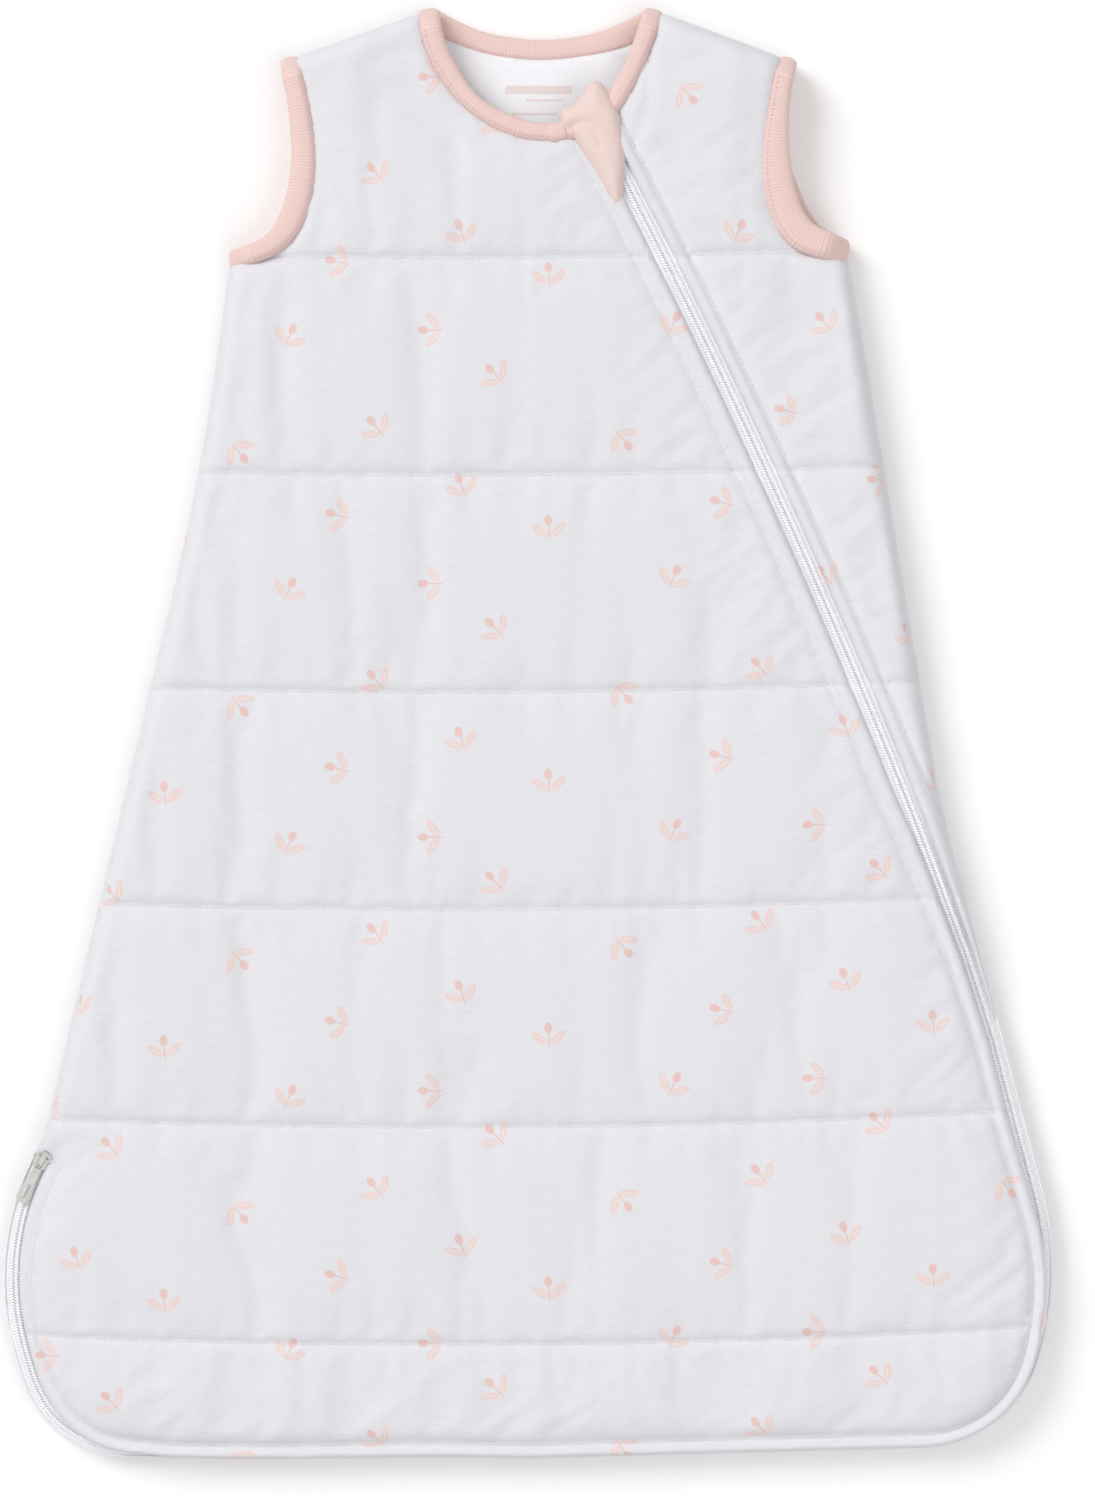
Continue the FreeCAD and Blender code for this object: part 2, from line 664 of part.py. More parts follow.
def zip_stops():
    """Small metal stops: one on each coil at the neck and a bridging one at the zip's lower end."""
    base = TAPE / 2 + COIL_HEIGHT + STOP_LIFT
    slab = zip_slab(base, base + STOP_HEIGHT)
    start = -ZIP_ABOVE + STOP_LIFT
    near, far = TOP_STOP_HALVES
    left = zip_strip(-near, -far, slab, start, start + STOP_LENGTH)
    right = zip_strip(near, far, slab, start, start + STOP_LENGTH)
    outer = LOWER_PATH_R + END_STOP_HALF
    inner = LOWER_PATH_R - END_STOP_HALF
    end_angle = LEFT_CURVE_FROM + END_STOP_DEGREES
    bridge = face([
        centred_arc(LEFT_CURVE, inner, LEFT_CURVE_FROM, end_angle),
        line(polar(LEFT_CURVE, inner, end_angle), polar(LEFT_CURVE, outer, end_angle)),
        centred_arc(LEFT_CURVE, outer, end_angle, LEFT_CURVE_FROM),
        line(polar(LEFT_CURVE, outer, LEFT_CURVE_FROM), polar(LEFT_CURVE, inner, LEFT_CURVE_FROM)),
    ])
    end = prism(bridge, ZIP_LOW + base, ZIP_LOW + base + STOP_HEIGHT)
    return {"zip_top_stop_left": left, "zip_top_stop_right": right, "zip_end_stop": end}


def edge_strip():
    """The back's turned edge, which the outer tape is sewn to along the hem."""
    return {"hem_edge_strip": hem_band(0, EDGE_STRIP, QUILT, ZIP_LOW + TAPE / 2)}


def zip_guard():
    """Leaf-shaped guard over the top of the zip: a face and its backing."""
    plan = closed_region(GUARD_CURVE, [GUARD_HINGE])
    middle = GUARD_HEIGHT + GUARD_BACKING
    return {
        "zip_guard_backing": prism(plan, GUARD_HEIGHT, middle),
        "zip_guard_face": prism(plan, middle, middle + GUARD_FACE),
    }


def main():
    parts = {}
    for group in (back_panel, front_panels, armhole_bindings, neck_bindings, zip_parts, zip_stops,
                  edge_strip, zip_guard, sliders):
        parts.update(group())
    os.makedirs("parts", exist_ok=True)
    for name, shape in parts.items():
        shape.exportStep("parts/" + name + ".step")
    return parts


PARTS = main()
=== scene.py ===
"""Looks of a baby sleeping bag that lies flat, zipped up. Lengths are in millimetres until a mesh is made."""
import math

import bpy
import numpy as np
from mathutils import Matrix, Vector, geometry, kdtree, noise


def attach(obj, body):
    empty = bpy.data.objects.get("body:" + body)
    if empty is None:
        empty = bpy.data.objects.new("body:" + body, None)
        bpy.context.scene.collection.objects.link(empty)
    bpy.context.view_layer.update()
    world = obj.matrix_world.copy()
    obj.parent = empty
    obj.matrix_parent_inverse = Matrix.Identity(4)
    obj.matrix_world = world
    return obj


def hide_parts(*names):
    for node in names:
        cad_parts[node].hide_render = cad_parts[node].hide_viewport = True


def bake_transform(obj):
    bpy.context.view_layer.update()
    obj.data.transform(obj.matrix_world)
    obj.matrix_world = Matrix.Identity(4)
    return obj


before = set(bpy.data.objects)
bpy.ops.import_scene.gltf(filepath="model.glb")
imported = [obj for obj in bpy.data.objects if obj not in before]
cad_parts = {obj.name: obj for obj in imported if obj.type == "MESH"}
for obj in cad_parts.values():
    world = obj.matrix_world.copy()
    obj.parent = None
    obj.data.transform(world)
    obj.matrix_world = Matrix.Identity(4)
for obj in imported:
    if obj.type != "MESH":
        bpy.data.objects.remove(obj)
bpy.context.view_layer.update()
scene = bpy.context.scene
MM = 0.001

# ---- Sizes shared with the CAD frame ----
FRONT_TOP = 24.0
SEAM_Z = 8.2
QUILT = 7.2
ZIP_HALF = 5.2    # the zip's centre line lies this far inside the edge along the hem
GAP = 4.1    # centre line to the edge of the fabric beside it
ZIP_HIGH, ZIP_LOW = 19.6, 11.6
TAPE_LIFT = 0.7    # the cloth tape lies this much over its CAD solid at the high end
RAMP_TOP_Y, RAMP_END_Y = -22.0, -118.0
ZIP_CENTRE, ZIP_RADIUS = (-3087.017, -1338.461), 3520.055
ZIP_START = (33.6, 290.2)
LEFT, LEFT_R, LEFT_FROM, LEFT_TO, LEFT_CORNER_R = (-124.4, -263.2), 128.6, 148.3, 201.8, 56.5
RIGHT, RIGHT_R, RIGHT_TO, RIGHT_CORNER_R = (103.0, -258.0), 150.0, -17.0, 60.9
NECK_LEFT, NECK_RIGHT = (-45.6, 350.0), (59.0, 350.0)
SHOULDER_LEFT, SHOULDER_RIGHT = (-133.0, 319.3), (139.7, 320.0)
WAIST_LEFT, WAIST_RIGHT = (-155.8, 133.9), (199.2, -34.3)
WAIST_LEFT_R, WAIST_RIGHT_R = 1200, 600
ZIP_END = (-233.8, -195.6)
HEM_MIDDLE = (0.0, -350.0)
CORNER_FULLER = 2.9
END_STOP, END_STOP_COVER = np.array([-229.7, -198.9]), 16.4

# The lower puller: its pivot, the way it points when it is swung back, and its underside then
PULLER_PIVOT, PULLER_BACK = np.array([-233.15, -204.9]), np.array([0.4726, 0.8813])
PULLER_UNDER, PULLER_RISE, PULLER_ROOM = 14.6, 0.577, 3.8

NECK_EDGE = [(-43.5, 353), (-41.5, 337), (-35.5, 321.8), (-21, 302.6), (7, 291.6),
             (32, 297.5), (45, 317), (53.8, 339.6), (57, 353)]
NECK_SEAM = [(-53.5, 353), (-50.9, 335), (-45.5, 320.5), (-31.7, 301.2), (-10, 287.2),
             (14, 284), (36, 291), (51, 311.5), (62.5, 339), (66.5, 353)]
BACK_NECK_EDGE = [(-46, 350), (-35.5, 343.9), (-18, 337.4), (6.7, 334.8), (31, 337.6), (50, 344.9), (59, 350)]
BACK_NECK_SEAM = [(-54, 343), (-38.9, 334.3), (-18, 327.2), (5, 324.5), (28, 326.6), (49.9, 332), (66, 342)]
ARM_LEFT_EDGE = [(-122, 336), (-119, 323), (-113.8, 295.4), (-112.8, 270),
                 (-119, 246), (-131, 234.5), (-152, 231.5)]
ARM_LEFT_SEAM = [(-113, 338), (-110.5, 325), (-104.6, 296.4), (-102.9, 268),
                 (-109.5, 243), (-124, 228.3), (-152, 221.5)]
ARM_RIGHT_EDGE = [(132.5, 338), (129.6, 324), (125.3, 304.6), (124.2, 280),
                  (127.7, 256), (138, 242.5), (164, 233.5)]
ARM_RIGHT_SEAM = [(123.5, 340), (121.2, 327), (117.2, 308), (113.7, 276),
                  (117.3, 250.5), (130, 231.5), (164, 223.5)]
GUARD = [(15.2, 289), (19.2, 288.2), (23.4, 283), (30.2, 271.6), (36.5, 260.4), (41.2, 252.6),
         (43.4, 251.4), (45.2, 256), (46.6, 270), (46, 284), (43.4, 297), (39.6, 305), (35.6, 310.6),
         (32.6, 312.2), (29, 310.6), (25.4, 305.4), (21.4, 300.4), (15.4, 298.4)]

# Quilting lines: height in the middle of the bag, how much they rise to the right, and how they sag
QUILT_LINES = [227.5 - 104.2 * k for k in range(6)]
QUILT_RISE, QUILT_SAG = 0.008, 0.000105
TUCK = 1.5    # the quilt goes this far under a binding


# ---- Curves in plan ----

def smooth(t):
    t = np.clip(t, 0, 1)
    return t * t * (3 - 2 * t)


def polar(centre, radius, degrees):
    angle = np.radians(degrees)
    return np.array(centre) + radius * np.array([np.cos(angle), np.sin(angle)]).T


def arc(centre, radius, start, end, step=3.0):
    count = max(3, int(abs(math.radians(end - start)) * radius / step) + 1)
    return polar(centre, radius, np.linspace(start, end, count))


def touch_angle(point, centre, radius, side):
    """Degrees on a circle where the straight line from a point touches it."""
    away = np.subtract(point, centre)
    swing = math.degrees(math.acos(radius / np.hypot(*away)))
    return math.degrees(math.atan2(away[1], away[0])) + side * swing


def fillet(before, corner, after, radius):
    """Arc that rounds the corner between two straight runs."""
    back = np.subtract(before, corner) / np.linalg.norm(np.subtract(before, corner))
    on = np.subtract(after, corner) / np.linalg.norm(np.subtract(after, corner))
    half = math.acos(float(back @ on)) / 2
    centre = np.array(corner) + (back + on) / np.linalg.norm(back + on) * radius / math.sin(half)
    reach = radius / math.tan(half)
    ends = [np.array(corner) + side * reach - centre for side in (back, on)]
    angles = [math.degrees(math.atan2(end[1], end[0])) for end in ends]
    turn = (angles[1] - angles[0] + 180) % 360 - 180
    return arc(centre, radius, angles[0], angles[0] + turn, 6.0)


def lengths_along(path):
    return np.concatenate([[0], np.cumsum(np.linalg.norm(np.diff(path, axis=0), axis=1))])


def spaced(path, step):
    """The path with points a step apart."""
    path = np.asarray(path, float)
    at = lengths_along(path)
    wanted = np.linspace(0, at[-1], max(2, int(round(at[-1] / step)) + 1))
    return np.column_stack([np.interp(wanted, at, path[:, k]) for k in range(path.shape[1])])


def dense(path, step):
    """The path with its corners kept and its long runs divided."""
    out = [np.asarray(path[0], float)]
    for a, b in zip(path, path[1:]):
        count = max(1, int(math.ceil(np.linalg.norm(np.subtract(b, a)) / step)))
        out += [np.add(a, np.subtract(b, a) * k / count) for k in range(1, count + 1)]
    return np.array(out)


def through(points, step):
    """A smooth curve through a few points."""
    p = np.array([2 * np.array(points[0]) - points[1], *points, 2 * np.array(points[-1]) - points[-2]], float)
    out = []
    for a, b, c, d in zip(p, p[1:], p[2:], p[3:]):
        for t in np.linspace(0, 1, 24, endpoint=False):
            out.append(0.5 * (2 * b + (c - a) * t + (2 * a - 5 * b + 4 * c - d) * t * t
                              + (3 * b - a - 3 * c + d) * t ** 3))
    return spaced(np.array(out + [p[-2]]), step)


def unit(rows):
    return rows / np.maximum(np.linalg.norm(rows, axis=1), 1e-9)[:, None]


def directions(path):
    return unit(np.gradient(path, axis=0))


def aside(path, distance):
    """The path moved sideways; positive is to its left."""
    run = directions(path[:, :2])
    return path[:, :2] + np.column_stack([-run[:, 1], run[:, 0]]) * np.reshape(distance, (-1, 1))


def outline():
    """The bag's edge, clockwise from the left end of the neck, and the part of it below the waist."""
    left_corner = polar(LEFT, LEFT_R - LEFT_CORNER_R, LEFT_TO)
    right_corner = polar(RIGHT, RIGHT_R - RIGHT_CORNER_R, RIGHT_TO)
    touch = touch_angle(WAIST_RIGHT, RIGHT, RIGHT_R, -1)
    hem_right = touch_angle(HEM_MIDDLE, right_corner, RIGHT_CORNER_R, 1)
    hem_left = touch_angle(HEM_MIDDLE, left_corner, LEFT_CORNER_R, -1)
    hem_right -= 360 * (hem_right > 0)
    hem_left += 360 * (hem_left < 0)
    upper = [NECK_LEFT, NECK_RIGHT, SHOULDER_RIGHT]
    upper += list(fillet(SHOULDER_RIGHT, WAIST_RIGHT, polar(RIGHT, RIGHT_R, touch), WAIST_RIGHT_R))
    lower = [upper.pop()] + list(arc(RIGHT, RIGHT_R, touch, RIGHT_TO))
    lower += list(arc(right_corner, RIGHT_CORNER_R, RIGHT_TO, hem_right)[1:])
    lower += [np.array(HEM_MIDDLE)]
    lower += list(arc(left_corner, LEFT_CORNER_R, hem_left, LEFT_TO))
    lower += list(arc(LEFT, LEFT_R, LEFT_TO, LEFT_FROM + 2)[1:])
    # The corner at the lower left is a little fuller than an arc
    lower = spaced(np.array(lower), 3.0)
    from_end = lengths_along(lower)[-1] - lengths_along(lower)
    lower = aside(lower, CORNER_FULLER * smooth((from_end - 104) / 50) * (1 - smooth((from_end - 230) / 120)))
    side = list(fillet(ZIP_END, WAIST_LEFT, SHOULDER_LEFT, WAIST_LEFT_R)) + [np.array(SHOULDER_LEFT)]
    return np.array(upper + list(lower) + [np.array(ZIP_END)] + side), lower


def zip_at(along):
    """Points on the zip's diagonal, which is one long arc."""
    start = math.atan2(ZIP_START[1] - ZIP_CENTRE[1], ZIP_START[0] - ZIP_CENTRE[0])
    angle = start - np.asarray(along) / ZIP_RADIUS
    return np.array(ZIP_CENTRE) + ZIP_RADIUS * np.column_stack([np.cos(angle), np.sin(angle)])


OUTLINE, LOWER = outline()
EDGE = np.vstack([OUTLINE, OUTLINE[:1]])
ZIP_ABOVE_START, MERGE_ALONG, MERGE_Y = -40, 440.0, -145
diagonal = zip_at(np.arange(ZIP_ABOVE_START, MERGE_ALONG, 4.0))
around = aside(spaced(LOWER, 4.0), -ZIP_HALF)
around = around[(around[:, 1] < MERGE_Y) | (around[:, 0] < 0)]
ZIP = spaced(through(list(np.vstack([diagonal, around])), 3.0), 2.0)


def tape_z(y):
    """Height of the zip's tape, which climbs from the hem to the front."""
    climbed = smooth((np.asarray(y) - RAMP_END_Y) / (RAMP_TOP_Y - RAMP_END_Y))
    return ZIP_LOW + (ZIP_HIGH + TAPE_LIFT - ZIP_LOW) * climbed


# ---- Small numeric helpers ----

EDGE_STEP = 0.7


def plan_tree(points):
    """A search tree over points in plan."""
    tree = kdtree.KDTree(len(points))
    for k, p in enumerate(points):
        tree.insert((p[0], p[1], 0), k)
    tree.balance()
    return tree


def nearest(points, line):
    """For each point, which point of the line is nearest."""
    tree = plan_tree(line)
    return np.array([tree.find((p[0], p[1], 0))[1] for p in points])


def near(points, line):
    """Distance of each point to a line."""
    line = dense(line, EDGE_STEP)
    found = nearest(points, line)

    def to_segment(a, b):
        run, away = line[b] - line[a], points - line[a]
        t = np.clip(np.sum(away * run, axis=1) / np.maximum(np.sum(run * run, axis=1), 1e-12), 0, 1)
        return np.linalg.norm(away - run * t[:, None], axis=1)

    return np.minimum(to_segment(np.maximum(found - 1, 0), found),
                      to_segment(found, np.minimum(found + 1, len(line) - 1)))


def outward(points):
    """The way to the outside, square to the bag's edge nearest to each point."""
    edge = dense(EDGE, EDGE_STEP)
    run = directions(edge)[nearest(points, edge)]
    return np.column_stack([-run[:, 1], run[:, 0]])


def lumps(points, across, along, seed):
    """Soft noise, longer one way than the other."""
    return np.array([noise.noise(Vector((p[0] / across, p[1] / along, seed))) for p in points])


def quilting_distance(points):
    x = points[:, 0]
    level = points[:, 1] - QUILT_RISE * x - QUILT_SAG * x * x
    return np.min(np.abs(level[:, None] - np.array(QUILT_LINES)), axis=1)


# ---- Meshes ----

ROW_OVER_STEP = 0.866     # a grid of even triangles
CLEAR_OF_LINES = 0.55     # grid points keep this many steps off the lines
SIDE_FADE = 16    # cloth past the bag's edge is laid out over this much of the plan
FRAMES, SLACK, PRESSURE, MOST_MOVED = 18, 0.012, 1.5, 1.6    # of cloth simulation


def add_object(name, data):
    made = bpy.data.objects.new(name, data)
    scene.collection.objects.link(made)
    return made


def read(items, key, width, kind=float):
    """One value of every item, as rows."""
    values = np.empty(len(items) * width, kind)
    items.foreach_get(key, values)
    return values.reshape(-1, width)


def add_uv(data, name, values):
    data.uv_layers.new(name=name).data.foreach_set("uv", values.astype(np.float32).ravel())


def mesh(name, points, faces, material, seam_uv=None):
    data = bpy.data.meshes.new(name)
    data.from_pydata((np.asarray(points, float) * MM).tolist(), [], [list(map(int, f)) for f in faces])
    data.validate()
    data.shade_smooth()
    if material:
        data.materials.append(material)
    if seam_uv is not None:
        corner = read(data.loops, "vertex_index", 1, int)[:, 0]
        add_uv(data, "rest", seam_uv[corner] * MM)
    return add_object(name, data)


def motif_places():
    """Where the printed sprigs lie, and how each is turned, over the whole cloth."""
    tile = [(0, 0, 5), (60, -23.5, -25), (127, -21, 90), (158, -42, 45),
            (101, -67, 40), (36, -80, -140), (142, -95, 20), (82.5, -109.5, 75)]
    return [(-174 + x + 184 * column, -150.5 + y + 6 * column + 121.4 * row, turn)
            for column in range(-2, 4) for row in range(-4, 5) for x, y, turn in tile]


def print_layer(data, shift):
    """A second layer of coordinates, in which every face sees the sprig nearest to it."""
    places = np.array(motif_places())
    tree = plan_tree(places[:, :2] + shift)
    rest = read(data.uv_layers["rest"].data, "uv", 2, np.float32) / MM
    out = np.empty_like(rest)
    for face in data.polygons:
        loops = slice(face.loop_start, face.loop_start + face.loop_total)
        middle = rest[loops].mean(axis=0)
        centre, k, _ = tree.find((middle[0], middle[1], 0))
        turn = math.radians(places[k][2])
        local = rest[loops] - np.array(centre[:2])
        cos, sin = math.cos(turn), math.sin(turn)
        out[loops] = local @ np.array([[cos, -sin], [sin, cos]])
    add_uv(data, "print", out * 0.01)


def anticlockwise(polygon):
    x, y = polygon[:, 0], polygon[:, 1]
    area = np.sum(x * np.roll(y, -1) - np.roll(x, -1) * y)
    return polygon if area > 0 else polygon[::-1]


def triangulate(inside, outside, lines, step):
    """Triangles over what is in every inside polygon and in no outside one. Edges follow the lines."""
    points, edges, loops = [], [], []
    for polygon in inside + outside:
        ring = anticlockwise(dense(np.vstack([polygon, polygon[:1]]), step)[:-1])
        loops.append(list(range(len(points), len(points) + len(ring))))
        points += list(ring)
    for line in lines:
        run = dense(line, step)
        edges += [(len(points) + k, len(points) + k + 1) for k in range(len(run) - 1)]
        points += list(run)
    tree = plan_tree(points)
    low, high = inside[0].min(axis=0) - step, inside[0].max(axis=0) + step
    rows = np.arange(low[1], high[1], step * ROW_OVER_STEP)
    for j, y in enumerate(rows):
        for x in np.arange(low[0] + (j % 2) * step / 2, high[0], step):
            if tree.find((x, y, 0))[2] > step * CLEAR_OF_LINES:
                points.append(np.array([x, y]))
    found = geometry.delaunay_2d_cdt([Vector(p) for p in points], edges, loops, 0, 1e-4, True)
    wanted, unwanted = set(range(len(inside))), set(range(len(inside), len(loops)))
    kept = [f for f, owner in zip(found[2], found[5]) if wanted <= set(owner) and not unwanted & set(owner)]
    used = sorted({v for f in kept for v in f})
    index = {v: k for k, v in enumerate(used)}
    plan = np.array([found[0][v] for v in used])
    return plan, np.array([[index[v] for v in f] for f in kept])


def closed_shell(name, plan, faces, top, bottom, material, reaches=None):
    """A closed cloth panel between two surfaces over one plan.

    Reaches say how far the cloth of each surface goes on past the plan's edge when it is laid out flat."""
    count = len(plan)
    flat = np.vstack([plan, plan])
    if reaches:
        fade = 1 - smooth(near(plan, EDGE) / SIDE_FADE)
        flat = np.vstack([plan + outward(plan) * (reach * fade)[:, None] for reach in reaches])
    points = np.vstack([np.column_stack([plan, top]), np.column_stack([plan, bottom])])
    every = [tuple(f) for f in faces] + [tuple(f[::-1] + count) for f in faces]
    edges = dict.fromkeys(edge for f in faces.tolist() for edge in zip(f, f[1:] + f[:1]))
    every += [(b, a, a + count, b + count) for a, b in edges if (b, a) not in edges]
    return mesh(name, points, every, material, flat)


def line_inside(made, way):
    """Lines the faces that look up (1) or down (-1) into the bag."""
    made.data.materials.append(LINING)
    inside = (way * read(made.data.polygons, "normal", 3)[:, 2] > 0.3).astype(np.int32)
    made.data.polygons.foreach_set("material_index", inside)


def settle(plan, faces, top, fixed):
    """Lets the outer cloth of a panel settle, a little loose, between its stitches."""
    cloth_piece = mesh("settling", np.column_stack([plan, top]), faces, None)
    group = cloth_piece.vertex_groups.new(name="stitched")
    group.add([int(k) for k in np.flatnonzero(fixed)], 1.0, "REPLACE")
    modifier = cloth_piece.modifiers.new("Cloth", "CLOTH")
    modifier.collision_settings.use_collision = False
    cloth = modifier.settings
    settings = dict(quality=4, mass=0.15, tension_stiffness=25, compression_stiffness=12, shear_stiffness=6,
                    bending_stiffness=0.6, vertex_group_mass="stitched", use_pressure=True,
                    uniform_pressure_force=PRESSURE, shrink_min=-SLACK)
    for key, value in settings.items():
        setattr(cloth, key, value)
    cloth.effector_weights.gravity = 0
    modifier.point_cache.frame_start, modifier.point_cache.frame_end = 1, FRAMES
    for number in range(1, FRAMES + 1):
        scene.frame_set(number)
    seen = cloth_piece.evaluated_get(bpy.context.evaluated_depsgraph_get()).data
    after = read(seen.vertices, "co", 3)[:, 2] / MM
    scene.frame_set(1)
    data = cloth_piece.data
    bpy.data.objects.remove(cloth_piece)
    bpy.data.meshes.remove(data)
    return top + MOST_MOVED * np.tanh((after - top) / MOST_MOVED)


def ring_faces(first, count, size):
    """Faces over rings of points, with both ends closed."""
    faces = []
    for k in range(count - 1):
        for i in range(size):
            a, b = first + k * size + i, first + k * size + (i + 1) % size
            faces.append((a, b, b + size, a + size))
    faces.append(tuple(range(first, first + size))[::-1])
    faces.append(tuple(range(first + (count - 1) * size, first + count * size)))
    return faces


def tube(name, path, section, material):
    """A solid strip swept along a path in space.

    section(k) gives its outline, sideways and up, at point k."""
    run = directions(path)
    across = unit(np.cross((0, 0, 1.0), run))
    over = np.cross(run, across)
    rings, along = [], lengths_along(path)
    for k in range(len(path)):
        outline_2d = section(k)
        rings.append(path[k] + outline_2d[:, :1] * across[k] + outline_2d[:, 1:] * over[k])
    size = len(rings[0])
    flat = np.column_stack([np.repeat(along, size), np.tile(np.linspace(0, 20, size), len(path))])
    return mesh(name, np.vstack(rings), ring_faces(0, len(path), size), material, flat)


def rounded_section(half_width, half_height, count, power):
    """An oval that gets squarer with a higher power."""
    angle = np.linspace(0, 2 * math.pi, count, endpoint=False)
    cos, sin = np.cos(angle), np.sin(angle)
    return np.column_stack([half_width * np.sign(cos) * np.abs(cos) ** (2 / power),
                            half_height * np.sign(sin) * np.abs(sin) ** (2 / power)])


def stitches(name, paths, material, pitch=3.0, length=2.5, radius=0.13):
    """Separate thread stitches lying along paths in space."""
    sides, shape = 5, ((-0.5, 0.25, -0.22), (-0.3, 0.9, 0.1), (0.3, 0.9, 0.1), (0.5, 0.25, -0.22))
    points, faces = [], []
    for path in paths:
        spots = spaced(path, pitch)
        run = directions(spots)
        for p, d in zip(spots[:-1], run[:-1]):
            first = len(points)
            side = np.cross((0, 0, 1.0), d)
            side /= max(np.linalg.norm(side), 1e-9)
            over = np.cross(d, side)
            for at, wide, lift in shape:
                for turn in range(sides):
                    angle = turn * 2 * math.pi / sides
                    points.append(p + d * at * length + side * radius * wide * math.cos(angle)
                                  + over * (lift + radius * wide * math.sin(angle)))
            faces += ring_faces(first, len(shape), sides)
    return mesh(name, points, faces, material)


def coil(name, path, side, material):
    """One side's zip coil: a filament wound along the path round a filler cord."""
    pitch, segments, sides, thread = 1.35, 14, 5, 0.46
    off_centre, height, half_width, half_height = 1.35, 1.5, 1.05, 0.72
    cord_half_width, cord_half_height = 0.85, 0.62
    line = spaced(path, pitch / segments)
    run = directions(line)
    turn = lengths_along(line) * 2 * math.pi / pitch + (math.pi if side > 0 else 0)
    across = np.column_stack([-run[:, 1], run[:, 0], np.zeros(len(run))])
    up = np.array([0, 0, 1.0])
    centre = line + across * side * off_centre + up * height
    wound = centre + across * (half_width * np.cos(turn) * side)[:, None]
    wound = wound + up * (half_height * np.sin(turn))[:, None]
    tangent = directions(wound)
    normal = unit(np.cross(tangent, run))
    binormal = np.cross(tangent, normal)
    rings, cord = [], []
    for k in range(sides):
        cos, sin = math.cos(2 * math.pi * k / sides), math.sin(2 * math.pi * k / sides)
        rings.append(wound + (normal * cos + binormal * sin) * thread)
        cord.append((centre + across * (cord_half_width * cos) + up * (cord_half_height * sin))[::segments])
    points, faces = [], []
    for thread_rings, out in ((rings, 1), (cord, -1)):
        first, count = len(points), len(thread_rings[0])
        points += list(np.stack(thread_rings, axis=1).reshape(-1, 3))
        for k in range(count - 1):
            for i in range(sides):
                a, b = first + k * sides + i, first + k * sides + (i + 1) % sides
                faces.append((a, a + sides, b + sides, b)[::out])
        faces.append(tuple(range(first, first + sides))[::out])
        faces.append(tuple(range(first + (count - 1) * sides, first + count * sides))[::-out])
    return mesh(name, points, faces, material)


# ---- Materials ----

def feed(tree, socket, value):
    """Links a socket to a node's output, or sets it to a value."""
    if isinstance(value, bpy.types.NodeSocket):
        tree.links.new(value, socket)
    else:
        socket.default_value = value


class Look:
    """A node material, or the world, built a node at a time."""

    def __init__(self, name, kind="materials", shader="Principled BSDF"):
        self.material = getattr(bpy.data, kind).new(name)
        self.material.use_nodes = True
        self.tree = self.material.node_tree
        self.shader = self.tree.nodes[shader]

    def add(self, kind, inputs=(), out=0, **settings):
        node = self.tree.nodes.new("ShaderNode" + kind)
        for key, value in settings.items():
            setattr(node, key, value)
        for key, value in dict(inputs).items():
            feed(self.tree, node.inputs[key], value)
        return node.outputs[out]

    def vector(self, operation, *values, out=0):
        return self.add("VectorMath", enumerate(values), out, operation=operation)

    def maths(self, operation, *values):
        return self.add("Math", enumerate(values), operation=operation)

    def between(self, value, low, high, to_low=0.0, to_high=1.0):
        return self.add("MapRange", {0: value, 1: low, 2: high, 3: to_low, 4: to_high}, clamp=True)

    def mix(self, factor, a, b):
        return self.add("Mix", {0: factor, 6: a, 7: b}, 2, data_type="RGBA")

    def set(self, **inputs):
        for key, value in inputs.items():
            feed(self.tree, self.shader.inputs[key.replace("_", " ")], value)

    def bump(self, height, distance, strength):
        self.set(Normal=self.add("Bump", {"Height": height, "Distance": distance, "Strength": strength}))

    def uv(self, name):
        return self.add("UVMap", uv_map=name)

    def ellipse(self, place, centre, turn, radii):
        """1 inside an ellipse and 0 outside it, with a soft rim."""
        local = self.vector("SUBTRACT", place, (*centre, 0))
        local = self.add("VectorRotate", {"Vector": local, "Angle": -math.radians(turn)},
                         rotation_type="Z_AXIS")
        local = self.vector("DIVIDE", local, (*radii, 1))
        return self.between(self.vector("LENGTH", local, out=1), 1.06, 0.9)

    def noise(self, place, stretch=None, detail=3, scale=1.0):
        """Noise from 0 to 1, with so many lumps to the metre."""
        if stretch:
            place = self.vector("MULTIPLY", place, stretch)
        return self.add("TexNoise", {"Vector": place, "Scale": scale, "Detail": detail})


def dimmed(colour, share):
    return tuple(c * share for c in colour[:3]) + (1,)


CLOTH_WHITE = (0.745, 0.745, 0.785, 1)
LEAF_PINK, BUD_PINK = (0.80, 0.60, 0.56, 1), (0.78, 0.47, 0.42, 1)


